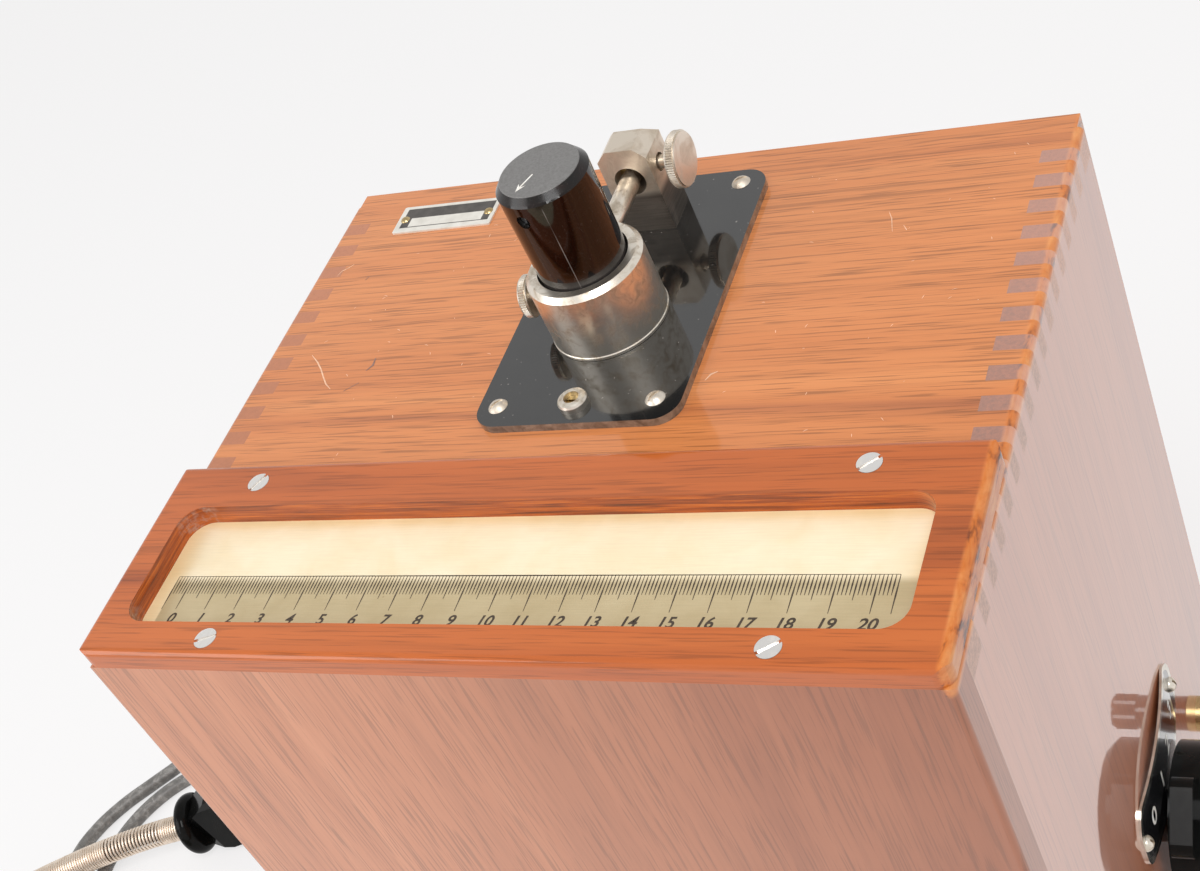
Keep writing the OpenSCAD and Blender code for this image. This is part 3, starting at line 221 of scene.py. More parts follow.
# A material's node tree, with a short call for each kind of node that it uses
class Shader:
    def __init__(self, name):
        self.mat = bpy.data.materials.new(name)
        self.mat.use_nodes = True
        self.tree = self.mat.node_tree
        self.bsdf = self.tree.nodes["Principled BSDF"]
        self.coords = self.add("ShaderNodeTexCoord")

    def add(self, kind, **settings):
        node = self.tree.nodes.new(kind)
        for key, value in settings.items():
            setattr(node, key, value)
        return node

    def join(self, source, target):
        self.tree.links.new(source, target)

    def put(self, target, value):
        if hasattr(value, "is_output"):
            self.join(value, target)
        else:
            target.default_value = value

    # The object's own coordinates in metres, scaled to a number of waves per metre on each axis
    def stretched(self, scale, offset=(0, 0, 0), turn=(0, 0, 0)):
        node = self.add("ShaderNodeMapping")
        self.join(self.coords.outputs["Object"], node.inputs["Vector"])
        node.inputs["Scale"].default_value = scale
        node.inputs["Location"].default_value = offset
        node.inputs["Rotation"].default_value = turn
        return node.outputs["Vector"]

    def noise(self, vector, scale=1, detail=4, rough=0.5, distort=0):
        node = self.add("ShaderNodeTexNoise")
        self.join(vector, node.inputs["Vector"])
        node.inputs["Scale"].default_value = scale
        node.inputs["Detail"].default_value = detail
        node.inputs["Roughness"].default_value = rough
        node.inputs["Distortion"].default_value = distort
        return node.outputs["Fac"]

    def ramp(self, source, stops):
        node = self.add("ShaderNodeValToRGB")
        self.join(source, node.inputs["Fac"])
        points = node.color_ramp.elements
        while len(points) < len(stops):
            points.new(0.5)
        for point, (place, value) in zip(points, stops):
            point.position = place
            point.color = (*value, 1) if isinstance(value, tuple) else (value, value, value, 1)
        return node.outputs["Color"]

    def mix(self, amount, first, second, mode="MIX"):
        node = self.add("ShaderNodeMix", data_type="RGBA", blend_type=mode)
        self.put(node.inputs["Factor"], amount)
        self.put(node.inputs["A"], first)
        self.put(node.inputs["B"], second)
        return node.outputs["Result"]

    def math(self, kind, first, second=0.0):
        node = self.add("ShaderNodeMath", operation=kind)
        self.put(node.inputs[0], first)
        self.put(node.inputs[1], second)
        return node.outputs["Value"]

    # 0 below low, 1 above high, smooth between
    def step(self, value, low, high):
        node = self.add("ShaderNodeMapRange", interpolation_type="SMOOTHSTEP")
        self.join(value, node.inputs["Value"])
        flip = low > high
        node.inputs["From Min"].default_value = high if flip else low
        node.inputs["From Max"].default_value = low if flip else high
        node.inputs["To Min"].default_value = 1 if flip else 0
        node.inputs["To Max"].default_value = 0 if flip else 1
        return node.outputs["Result"]

    # 1 inside the rectangle (low to high on two axes), 0 outside
    def patch(self, first, second, low, high, soft=0.0001):
        out = None
        for letter, a, b in ((first, low[0], high[0]), (second, low[1], high[1])):
            place = self.axis(letter)
            for edge in (self.step(place, a - soft, a + soft), self.step(place, b + soft, b - soft)):
                out = edge if out is None else self.math("MULTIPLY", out, edge)
        return out

    def axis(self, letter, output="Object"):
        node = self.add("ShaderNodeSeparateXYZ")
        self.join(self.coords.outputs[output], node.inputs["Vector"])
        return node.outputs[letter]

    def bump(self, height, strength, distance, into="Normal"):
        node = self.add("ShaderNodeBump")
        self.join(height, node.inputs["Height"])
        node.inputs["Strength"].default_value = strength
        node.inputs["Distance"].default_value = distance
        self.join(node.outputs["Normal"], self.bsdf.inputs[into])

    def set(self, **values):
        for key, value in values.items():
            self.put(self.bsdf.inputs[key.replace("_", " ")], value)


def rgb(r, g, b):
    return (r, g, b, 1)


def scaled(tone, factor):
    return tuple(factor * v for v in tone)


# The frame's upright walls round the window
def window_wall(s):
    margin = 0.002
    low = (SCALE_LOW.x - margin, SCALE_LOW.y - margin)
    high = (SCALE_HIGH.x + margin, SCALE_HIGH.y + margin)
    upright = s.math("LESS_THAN", s.math("ABSOLUTE", s.axis("Z", "Normal")), 0.6)
    return s.math("MULTIPLY", s.patch("X", "Y", low, high), upright)


# Pale grime in the window's left corners
def window_grime(s):
    dirt = s.step(s.noise(s.stretched((350, 350, 350)), 1, 5, 0.7, 0.2), 0.4, 0.75)
    out = None
    for y in (SCALE_LOW.y + 0.004, SCALE_HIGH.y - 0.004):
        dx = s.math("SUBTRACT", s.axis("X"), SCALE_LOW.x + 0.006)
        dy = s.math("SUBTRACT", s.axis("Y"), y)
        far = s.math("SQRT", s.math("ADD", s.math("MULTIPLY", dx, dx), s.math("MULTIPLY", dy, dy)))
        near = s.step(far, 0.009, 0.003)
        out = near if out is None else s.math("MAXIMUM", out, near)
    return s.math("MULTIPLY", s.math("MULTIPLY", out, dirt), s.math("MULTIPLY", window_wall(s), 0.75))


# Colour of the boards' end grain, paler towards the back and like the board at the left
def end_grain(s, board, end_tone, middle, spot):
    pith = s.noise(s.stretched((900, 900, 900), spot), 1, 3, 0.7, 0.0)
    tone = s.ramp(pith, [(0.3, scaled(end_tone, 0.6)), (0.7, end_tone)])
    faded = s.step(s.axis("Y"), -0.01, 0.06)
    tone = s.mix(s.math("MULTIPLY", faded, 0.5), tone, board)
    left = s.step(s.axis("X"), -0.08, -0.1)
    return s.mix(s.math("MULTIPLY", left, 0.6), tone, rgb(*middle))


# The case's upper right edge: a painted highlight, a bright orange band standing in for the rounded edge
# catching light, with dark knocks in it
def knocked_edge(s, board, spot):
    right = s.step(s.axis("X"), CASE_RIGHT - 0.003, CASE_RIGHT - 0.0018)
    upper = s.step(s.axis("Z"), CASE_TOP - 0.0035, CASE_TOP - 0.0015)
    knocks = s.noise(s.stretched((260, 90, 260), spot), 1, 3, 0.6, 0.3)
    bare = s.ramp(knocks, [(0.34, (0.12, 0.03, 0.01)), (0.44, (0.62, 0.17, 0.025)), (0.7, (0.8, 0.33, 0.1))])
    return s.mix(s.math("MULTIPLY", s.math("MULTIPLY", right, upper), 0.8), board, bare)


# Inner walls of the scale's window: layered tone whose bright layers are a painted highlight on the walls,
# and grime in the corners
def window_inside(s, board):
    painted_highlight_layers = s.noise(s.stretched((35, 35, 1100)), 1, 4, 0.6, 0.5)
    depths = [(0.3, (0.11, 0.02, 0.007)), (0.5, (0.4, 0.075, 0.012)), (0.7, (0.66, 0.16, 0.02))]
    # Painted highlight: bright orange layers over dark on the window's upright walls
    tone = s.mix(window_wall(s), board, s.ramp(painted_highlight_layers, depths))
    return s.mix(window_grime(s), tone, rgb(0.46, 0.4, 0.36))


# Waves per metre along the grain and across it
def grain_scale(along, length, width):
    return (length, width, width) if along == "X" else (width, width, length)


# Lacquered mahogany with its grain along one axis. The offset and slant make each board its own,
# the painted shade darkens it towards the right, standing in for light falling off across it, and the figure
# is how strongly its lines show.
def wood(name, along, tones, offset=0.0, slant=0.0, shine=0.15, coat_rough=0.05, coat_ior=1.5,
         painted_shade=0.0, figure=1.0, window=False):
    light, middle, dark, end_tone = tones
    s = Shader(name)
    turn = (0, slant, 0)
    spot = (offset, offset * 1.7, offset * 0.6)
    bands = s.noise(s.stretched(grain_scale(along, 2.6, 48), spot, turn), 1, 4, 0.5, 0.8)
    fibres = s.noise(s.stretched(grain_scale(along, 15, 620), spot, turn), 1, 4, 0.6, 0.3)
    dashes = s.noise(s.stretched(grain_scale(along, 42, 1500), spot, turn), 1, 2, 0.5, 0.1)
    lines = s.noise(s.stretched(grain_scale(along, 3, 330), spot, turn), 1, 2, 0.5, 0.3)
    cloud = s.noise(s.stretched((11, 11, 11), spot), 1, 3, 0.5, 0.3)
    tone = s.ramp(bands, [(0.24, dark), (0.44, middle), (0.74, light)])
    tone = s.mix(0.45 * figure, tone, s.ramp(fibres, [(0.3, 0.45), (0.5, 0.93), (0.7, 1.0)]), "MULTIPLY")
    tone = s.mix(0.5 * figure, tone, s.ramp(lines, [(0.28, 0.35), (0.36, 1.0)]), "MULTIPLY")
    tone = s.mix(0.6 * figure, tone, s.ramp(dashes, [(0.36, 0.3), (0.45, 1.0)]), "MULTIPLY")
    # Painted shade: darker towards the right, standing in for light falling off across the face
    if painted_shade:
        rightward = s.step(s.axis("X"), -0.09, 0.12)
        tone = s.mix(s.math("MULTIPLY", rightward, painted_shade), tone, rgb(0.56, 0.44, 0.38), "MULTIPLY")
    tone = s.mix(s.math("MULTIPLY", cloud, 0.3), tone, rgb(*light))
    end = s.math("GREATER_THAN", s.math("ABSOLUTE", s.axis(along, "Normal")), 0.8)
    tone = s.mix(end, tone, end_grain(s, tone, end_tone, middle, spot))
    # Painted highlight along the case's upper right edge, with dark knocks
    tone = knocked_edge(s, tone, spot)
    if window:
        tone = window_inside(s, tone)
    s.set(Base_Color=tone, Roughness=0.45, Specular_IOR_Level=shine)
    s.set(Coat_Weight=1.0, Coat_Roughness=coat_rough, Coat_IOR=coat_ior)
    s.bump(fibres, 0.1, 0.0002)
    ripple = s.noise(s.stretched((45, 45, 45), spot), 1, 2, 0.5, 0.0)
    s.bump(ripple, 0.06, 0.0006, "Coat Normal")
    return s.mat


# Nickel gone dull and brown in patches
def nickel(name, tint=(0.78, 0.72, 0.63), rough=0.2, stain=0.6, size=180, dark_below=None):
    s = Shader(name)
    patch = s.noise(s.stretched((size, size, size)), 1, 6, 0.65, 0.8)
    dull = s.ramp(patch, [(0.45, 0.0), (0.68, 1.0)])
    brown = tuple(v * f for v, f in zip(tint, (0.52, 0.45, 0.36)))
    tone = s.mix(s.math("MULTIPLY", dull, stain), rgb(*tint), rgb(*brown))
    if dark_below:
        low = s.step(s.axis("Z"), dark_below + 0.0015, dark_below - 0.0015)
        brushed = s.noise(s.stretched((60, 60, 4200)), 1, 3, 0.6, 0.1)
        tone = s.mix(low, tone, s.ramp(brushed, [(0.3, (0.17, 0.145, 0.125)), (0.7, (0.27, 0.235, 0.2))]))
    s.set(Base_Color=tone, Metallic=1.0)
    fine = s.noise(s.stretched((900, 900, 2500)), 1, 3, 0.6, 0.0)
    s.set(Roughness=s.math("ADD", s.math("MULTIPLY", dull, 0.25), rough))
    s.bump(fine, 0.08, 0.0001)
    return s.mat


def brass(name):
    s = Shader(name)
    patch = s.noise(s.stretched((220, 220, 220)), 1, 5, 0.6, 0.5)
    s.set(Base_Color=s.ramp(patch, [(0.35, (0.42, 0.3, 0.13)), (0.65, (0.72, 0.56, 0.3))]), Metallic=1.0)
    s.set(Roughness=s.math("ADD", s.math("MULTIPLY", patch, 0.3), 0.18))
    return s.mat


# Black plate, dusty and scratched, with its raw brown edge showing
def enamel(name):
    s = Shader(name)
    dust = s.noise(s.stretched((800, 800, 800)), 1, 1, 0.5, 0.0)
    speck = s.ramp(dust, [(0.74, 0.0), (0.79, 1.0)])
    film = s.noise(s.stretched((60, 60, 60)), 1, 4, 0.6, 0.4)
    base = s.mix(s.math("MULTIPLY", film, 0.012), rgb(0.006, 0.006, 0.006), rgb(0.8, 0.76, 0.72))
    base = s.mix(s.math("MULTIPLY", speck, 0.35), base, rgb(0.6, 0.55, 0.5))
    rim = s.math("LESS_THAN", s.axis("Z", "Normal"), 0.85)
    worn = s.noise(s.stretched((300, 300, 300)), 1, 4, 0.6, 0.4)
    edge = s.ramp(worn, [(0.35, (0.10, 0.075, 0.055)), (0.7, (0.3, 0.23, 0.17))])
    s.set(Base_Color=s.mix(rim, base, edge))
    s.set(Roughness=s.math("ADD", s.math("MULTIPLY", film, 0.1), 0.04), Coat_Weight=0.8, Coat_Roughness=0.015)
    scratch = s.noise(s.stretched((30, 1400, 1400), (0, 0, 0), (0, 0, 0.5)), 1, 2, 0.6, 0.3)
    s.bump(scratch, 0.03, 0.0001)
    return s.mat


def bakelite(name, tone, glow, rough=0.12, coat=0.5):
    s = Shader(name)
    mottle = s.noise(s.stretched((140, 140, 60)), 1, 5, 0.6, 0.6)
    s.set(Base_Color=s.ramp(mottle, [(0.35, tone), (0.7, glow)]))
    fine = s.noise(s.stretched((600, 600, 600)), 1, 4, 0.6, 0.0)
    s.set(Roughness=s.math("ADD", s.math("MULTIPLY", fine, 0.1), rough), Specular_IOR_Level=0.6 * coat)
    s.set(Coat_Weight=coat, Coat_Roughness=0.03)
    s.bump(fine, 0.03, 0.0001)
    return s.mat


# The torsion knob: dark polished side with a painted highlight line down it, dull grey top, dust round its
# foot
def knob_bakelite(name):
    s = Shader(name)
    flow = s.noise(s.stretched((260, 260, 9)), 1, 3, 0.6, 0.4)
    depths = [(0.35, (0.003, 0.002, 0.0015)), (0.6, (0.008, 0.003, 0.002)), (0.8, (0.02, 0.006, 0.003))]
    side = s.ramp(flow, depths)
    hair = s.noise(s.stretched((170, 170, 170), (0.2, 0, 0), (0.5, 0.3, 0.9)), 1, 1, 0.5, 3.0)
    line = s.math("MULTIPLY", s.step(hair, 0.497, 0.5), s.step(hair, 0.503, 0.5))
    side = s.mix(s.math("MULTIPLY", line, 0.12), side, rgb(0.5, 0.42, 0.36))
    dx = s.math("SUBTRACT", s.axis("X"), KNOB_AT.x)
    dy = s.math("SUBTRACT", s.axis("Y"), KNOB_AT.y)
    # Painted highlight: a thin bright line down the side at one angle, fading along its length and stopping
    # below the chamfer
    away = s.math("ABSOLUTE", s.math("SUBTRACT", s.math("ARCTAN2", dy, dx), HIGHLIGHT_LINE_ANGLE))
    painted_highlight_line = s.step(away, 0.014, 0.004)
    highlight_line_fade = s.noise(s.stretched((8, 8, 70), (0, 0, 0.03)), 1, 2, 0.5, 0.0)
    painted_highlight_line = s.math("MULTIPLY", painted_highlight_line, s.ramp(highlight_line_fade, [(0.4, 0.04), (0.62, 0.4)]))
    painted_highlight_line = s.math("MULTIPLY", painted_highlight_line, s.step(s.axis("Z"), KNOB_TOP - 0.003, KNOB_TOP - 0.005))
    side = s.mix(painted_highlight_line, side, rgb(0.62, 0.58, 0.54))
    foot = s.step(s.axis("Z"), COLLAR_TOP + 0.0045, COLLAR_TOP - 0.001)
    side = s.mix(s.math("MULTIPLY", foot, 0.5), side, rgb(0.09, 0.08, 0.075))
    speckle = s.noise(s.stretched((1600, 1600, 1600)), 1, 2, 0.6, 0.0)
    face = s.ramp(speckle, [(0.3, (0.15, 0.145, 0.14)), (0.7, (0.2, 0.195, 0.19))])
    top = s.step(s.axis("Z"), KNOB_TOP - 0.0003, KNOB_TOP - 0.0001)
    chamfer = s.step(s.axis("Z"), KNOB_TOP - 0.0022, KNOB_TOP - 0.0018)
    s.set(Base_Color=s.mix(top, side, face), Specular_IOR_Level=0.4)
    dull = s.math("ADD", s.math("MULTIPLY", chamfer, 0.18), 0.05)
    s.set(Roughness=s.math("ADD", s.math("MULTIPLY", top, 0.18), dull))
    s.bump(speckle, 0.02, 0.0001)
    return s.mat


# Cream scale: bright behind its line, olive grey under the divisions, darker and yellower towards the frame
def opal(name):
    s = Shader(name)
    blotch = s.noise(s.stretched((60, 60, 60)), 1, 4, 0.55, 0.4)
    brushed = s.noise(s.stretched((90, 2600, 900)), 1, 2, 0.5, 0.1)
    cream = s.ramp(blotch, [(0.35, (0.88, 0.74, 0.49)), (0.65, (0.93, 0.81, 0.58))])
    grey = s.ramp(blotch, [(0.35, (0.48, 0.38, 0.21)), (0.65, (0.54, 0.44, 0.26))])
    yellow = s.ramp(blotch, [(0.35, (0.76, 0.52, 0.2)), (0.65, (0.82, 0.6, 0.27))])
    front = s.step(s.axis("Y"), SCALE_LINE_Y + 0.0004, SCALE_LINE_Y - 0.0030)
    side = s.step(s.axis("X"), SCALE_LEFT - 0.0003, SCALE_LEFT + 0.0003)
    # Darker, yellower band along the frame's left, right and back edges
    near_left = s.step(s.axis("X"), SCALE_LOW.x + 0.0125, SCALE_LOW.x + 0.0045)
    near_right = s.step(s.axis("X"), SCALE_HIGH.x - 0.009, SCALE_HIGH.x - 0.003)
    near_back = s.step(s.axis("Y"), SCALE_HIGH.y - 0.0075, SCALE_HIGH.y - 0.0035)
    near = s.math("MAXIMUM", s.math("ADD", near_left, near_right), near_back)
    tone = s.mix(s.math("MULTIPLY", near, 0.55), cream, yellow)
    tone = s.mix(s.math("MULTIPLY", front, side), tone, grey)
    tone = s.mix(0.12, tone, s.ramp(brushed, [(0.35, 0.6), (0.6, 1.0)]), "MULTIPLY")
    specks = s.noise(s.stretched((330, 330, 330), (1, 2, 3)), 1, 1, 0.5, 0.0)
    tone = s.mix(s.math("MULTIPLY", s.step(specks, 0.8, 0.83), 0.6), tone, rgb(0.22, 0.12, 0.04))
    s.set(Base_Color=tone, Roughness=0.35, Coat_Weight=0.15, Coat_Roughness=0.1)
    s.bump(blotch, 0.03, 0.0003)
    return s.mat


def ink(name, colour):
    s = Shader(name)
    fade = s.noise(s.stretched((500, 500, 500)), 1, 3, 0.6, 0.0)
    paler = tuple(min(1, v * 1.5 + 0.01) for v in colour)
    s.set(Base_Color=s.ramp(fade, [(0.35, colour), (0.7, paler)]), Roughness=0.5)
    return s.mat


# Aluminium tag: a black field with a bare strip in it
def tag_metal(name):
    s = Shader(name)
    patch = s.noise(s.stretched((200, 200, 200)), 1, 5, 0.6, 0.2)
    bare = s.ramp(patch, [(0.3, (0.72, 0.69, 0.62)), (0.7, (0.9, 0.87, 0.8))])
    x1, y1, x2, y2 = TAG_LOW.x, TAG_LOW.y, TAG_HIGH.x, TAG_HIGH.y
    field = s.patch("X", "Y", (x1 + 0.0019, y1 + 0.0022), (x2 - 0.0014, y2 - 0.0013))
    strip = s.patch("X", "Y", (x1 + 0.0050, y1 + 0.0026), (x2 - 0.0041, y1 + 0.0068))
    black = s.math("MULTIPLY", field, s.math("SUBTRACT", 1.0, strip))
    dusty = s.ramp(patch, [(0.35, (0.045, 0.04, 0.036)), (0.7, (0.1, 0.09, 0.08))])
    shiny = s.math("MULTIPLY", s.math("SUBTRACT", 1.0, black), 0.35)
    s.set(Base_Color=s.mix(black, bare, dusty), Metallic=shiny, Roughness=0.4)
    s.bump(patch, 0.1, 0.0002)
    return s.mat


# Nickel dial plate with a black field that follows its outline
def dial_metal(name):
    s = Shader(name)
    patch = s.noise(s.stretched((160, 160, 160)), 1, 4, 0.6, 0.4)
    bare = s.ramp(patch, [(0.35, (0.62, 0.57, 0.48)), (0.65, (0.84, 0.8, 0.72))])
    beyond = []
    for axis, low, high in (("Y", DIAL_LOW.y, DIAL_HIGH.y), ("Z", DIAL_LOW.z, DIAL_HIGH.z)):
        off = s.math("ABSOLUTE", s.math("SUBTRACT", s.axis(axis), (low + high) / 2))
        over = s.math("MAXIMUM", s.math("SUBTRACT", off, (high - low) / 2 - DIAL_CORNER), 0.0)
        beyond.append(s.math("MULTIPLY", over, over))
    reach = s.math("SQRT", s.math("ADD", *beyond))
    field = s.step(reach, DIAL_CORNER - DIAL_BORDER, DIAL_CORNER - DIAL_BORDER - 0.0003)
    field = s.math("MULTIPLY", field, s.math("GREATER_THAN", s.axis("X", "Normal"), 0.6))
    s.set(Base_Color=s.mix(field, bare, rgb(0.012, 0.012, 0.013)))
    s.set(Metallic=s.math("SUBTRACT", 1.0, field), Coat_Weight=field, Coat_Roughness=0.08)
    s.set(Roughness=s.math("ADD", s.math("MULTIPLY", patch, 0.2), 0.1))
    return s.mat


def rubber(name, tone):
    s = Shader(name)
    dust = s.noise(s.stretched((260, 260, 260)), 1, 6, 0.7, 0.5)
    s.set(Base_Color=s.ramp(dust, [(0.3, tone), (0.5, scaled(tone, 1.4)), (0.72, scaled(tone, 3))]))
    s.set(Roughness=s.math("ADD", s.math("MULTIPLY", dust, 0.25), 0.3))
    s.bump(dust, 0.2, 0.0002)
    return s.mat


def plain_metal(name, tone, rough):
    s = Shader(name)
    patch = s.noise(s.stretched((200, 200, 200)), 1, 5, 0.6, 0.2)
    s.set(Base_Color=s.ramp(patch, [(0.3, scaled(tone, 0.7)), (0.7, tone)]), Metallic=1.0)
    s.set(Roughness=s.math("ADD", s.math("MULTIPLY", patch, 0.2), rough))
    return s.mat


def clear_glass(name):
    s = Shader(name)
    haze = s.noise(s.stretched((80, 80, 80)), 1, 3, 0.5, 0.0)
    s.set(Base_Color=rgb(0.95, 0.97, 0.97), Transmission_Weight=1.0, IOR=1.5)
    s.set(Roughness=s.math("MULTIPLY", haze, 0.08))
    return s.mat


def mirror(name):
    s = Shader(name)
    haze = s.noise(s.stretched((90, 90, 90)), 1, 3, 0.5, 0.0)
    s.set(Base_Color=rgb(0.85, 0.88, 0.9), Metallic=1.0, Roughness=s.math("MULTIPLY", haze, 0.08))
    return s.mat


def windings(name):
    s = Shader(name)
    strands = s.noise(s.stretched((200, 200, 3000)), 1, 3, 0.5, 0.0)
    s.set(Base_Color=s.ramp(strands, [(0.35, (0.22, 0.07, 0.02)), (0.65, (0.5, 0.2, 0.08))]), Roughness=0.35)
    s.bump(strands, 0.4, 0.0002)
    return s.mat


# Light, middle, dark and end-grain tone of each wood
TOP_TONES = ((0.74, 0.275, 0.09), (0.64, 0.21, 0.062), (0.38, 0.11, 0.04), (0.56, 0.28, 0.18))
FRONT_TONES = ((0.66, 0.27, 0.135), (0.55, 0.205, 0.096), (0.38, 0.135, 0.065), (0.40, 0.13, 0.05))
SIDE_TONES = ((0.56, 0.19, 0.085), (0.50, 0.16, 0.065), (0.42, 0.12, 0.05), (0.40, 0.11, 0.035))
FRAME_TONES = ((0.60, 0.155, 0.033), (0.48, 0.11, 0.022), (0.20, 0.037, 0.012), (0.16, 0.035, 0.012))

MATERIALS = {
    "wood_top": wood("wood_top", "X", TOP_TONES, offset=0.3, slant=0.012),
    "wood_side": wood("wood_side", "Z", SIDE_TONES, offset=1.1, slant=0.02, shine=0.9, coat_rough=0.03,
                      coat_ior=2.5, figure=0.45),
    "wood_left": wood("wood_left", "Z", FRONT_TONES, offset=7.4, slant=0.015, figure=0.8),
    "wood_front": wood("wood_front", "Z", FRONT_TONES, offset=2.3, slant=-0.05, shine=0.2, coat_rough=0.09,
                       painted_shade=1.0, figure=0.75),
    "wood_back": wood("wood_back", "X", TOP_TONES, offset=5.7),
    "wood_frame": wood("wood_frame", "X", FRAME_TONES, offset=4.1, slant=0.01, shine=0.05, figure=0.75,
                       window=True),
    "scale_opal": opal("scale_opal"),
    "nickel": nickel("nickel", (0.86, 0.79, 0.69), 0.3, 0.85, 260),
    "nickel_knurl": nickel("nickel_knurl", (0.80, 0.72, 0.62), 0.4, 0.4, 120),
    "nickel_block": nickel("nickel_block", (0.80, 0.71, 0.60), 0.42, 0.5, 120, PLATE_TOP + BLOCK_DARK_H),
    "nickel_screw": nickel("nickel_screw", (0.95, 0.93, 0.9), 0.35, 0.2, 300),
    "dial_metal": dial_metal("dial_metal"),
    "steel": plain_metal("steel", (0.45, 0.45, 0.46), 0.25),
    "black_enamel": enamel("black_enamel"),
    "brass": brass("brass"),
    "tag_aluminium": tag_metal("tag_aluminium"),
    "knob_bakelite": knob_bakelite("knob_bakelite"),
    "bakelite_brown": bakelite("bakelite_brown", (0.05, 0.018, 0.01), (0.16, 0.05, 0.022)),
    "bakelite_black": bakelite("bakelite_black", (0.004, 0.004, 0.004), (0.009, 0.009, 0.008), 0.05, 0.1),
    "magnet_steel": plain_metal("magnet_steel", (0.14, 0.14, 0.15), 0.45),
    "soft_iron": plain_metal("soft_iron", (0.28, 0.28, 0.29), 0.4),
    "copper_wire": windings("copper_wire"),
    "mirror_glass": mirror("mirror_glass"),
    "clear_glass": clear_glass("clear_glass"),
    "guard_spring": nickel("guard_spring", (0.9, 0.78, 0.66), 0.38, 0.5, 160),
    "cable_sheath": rubber("cable_sheath", (0.13, 0.125, 0.118)),
    "scale_ink": ink("scale_ink", (0.045, 0.03, 0.018)),
    "white_ink": ink("white_ink", (0.75, 0.7, 0.63)),
    "scratch": ink("scratch", (0.72, 0.42, 0.27)),
    "dark_dent": ink("dark_dent", (0.22, 0.12, 0.09)),
}

# Nodes whose look differs from the material slot that they share
OWN_LOOK = {
    "back_board": "wood_back", "side_panel_left": "wood_left", "torsion_knob": "knob_bakelite",
    "guide_block": "nickel_block", "fine_screw_head": "nickel_knurl", "dial_plate": "dial_metal",
    "frame_screws": "nickel_screw", "head_plate_screws": "nickel_knurl",
}


# Print and scratches wear looks that the record has no slot for
def wear(obj, look):
    obj.data.materials.clear()
    obj.data.materials.append(MATERIALS[look])
    return obj


def dress_nodes():
    for part in frame["record"]["subparts"]:
        obj = nodes[part["node"]]
        obj.data.materials.clear()
        look = OWN_LOOK.get(part["node"], part["material_slot"])
        obj.data.materials.append(MATERIALS[look])


# Rounded edges for a node, where the faces meet at more than the angle
def soften(node, width, segments, angle):
    bevel = nodes[node].modifiers.new("edge", "BEVEL")
    bevel.width = width
    bevel.segments = segments
    bevel.limit_method = "ANGLE"
    bevel.angle_limit = math.radians(angle)
    bevel.harden_normals = False


dress_nodes()
wear(cable, "cable_sheath")


def mesh_piece(name, bm, slot, body="case"):
    data = bpy.data.meshes.new(name)
    bm.to_mesh(data)
    bm.free()
    obj = bpy.data.objects.new(name, data)
    link(obj, body)
    return wear(obj, slot)


# Close-wound ends and an open middle, as a wire along the guard's route
def spring_guard():
    line = smooth(GUARD_ROUTE, 12)
    lengths = [0]
    for a, b in zip(line, line[1:]):
        lengths.append(lengths[-1] + (b - a).length)
    wire = 0.00057
    close, wide = 0.0012, 0.00175
    open_from, open_to = 0.0135, 0.0425
    end_gap = 0.0005
    sides = 14
    points = []
    place, angle, i = end_gap, 0.0, 0
    while place < lengths[-1] - end_gap:
        while i < len(line) - 2 and lengths[i + 1] < place:
            i += 1
        share = (place - lengths[i]) / (lengths[i + 1] - lengths[i])
        ahead = (line[i + 1] - line[i]).normalized()
        side = ahead.cross(Vector((0, 0, 1))).normalized()
        up = side.cross(ahead)
        at = line[i].lerp(line[i + 1], share)
        r = GUARD_R - wire
        points.append(at + r * (math.cos(angle) * side + math.sin(angle) * up))
        pitch = wide if open_from < place < open_to else close
        angle += 2 * math.pi / sides
        place += pitch / sides
    piece = link(tube("guard_spring_wire", points, wire, 6))
    wear(piece, "guard_spring")
    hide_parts("cable_guard")
    return piece


guard = spring_guard()
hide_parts("mains_cable", "cable_coil")


# Flat ribbon through points on a horizontal face
def add_ribbon(bm, points, width, z):
    rows = []
    for i, (x, y) in enumerate(points):
        a = points[max(i - 1, 0)]
        b = points[min(i + 1, len(points) - 1)]
        run = Vector((b[0] - a[0], b[1] - a[1])).normalized()
        taper = 0.35 if i in (0, len(points) - 1) else 1
        off = Vector((-run.y, run.x)) * width * taper / 2
        rows.append((bm.verts.new((x + off.x, y + off.y, z)), bm.verts.new((x - off.x, y - off.y, z))))
    for (a, b), (c, d) in zip(rows, rows[1:]):
        bm.faces.new((a, b, d, c))


# Share of a font's size that its figures take up
CAPITAL_SHARE = 0.7


# Flat text of a height, centred at a place, with its line along one direction
def add_text(bm, text, height, at, across, up, slant, weight):
    data = bpy.data.curves.new("lettering", "FONT")
    data.body = text
    data.size = height / CAPITAL_SHARE
    data.shear = slant
    data.offset = weight
    data.align_x = "CENTER"
    holder = bpy.data.objects.new("lettering", data)
    mesh = bpy.data.meshes.new_from_object(holder)
    bpy.data.objects.remove(holder)
    turn = Matrix((across, up, Vector(across).cross(Vector(up)))).transposed().to_4x4()
    mesh.transform(Matrix.Translation(at) @ turn)
    bm.from_mesh(mesh)
    bpy.data.meshes.remove(mesh)


# Length of a division's tick: the ends and the fifths of each ten are long, the tens middling
def tick_length(i):
    if i % 10 == 5 or i in (0, DIVISIONS):
        return TICK_LONG
    return TICK_MIDDLE if i % 10 == 0 else TICK_SHORT


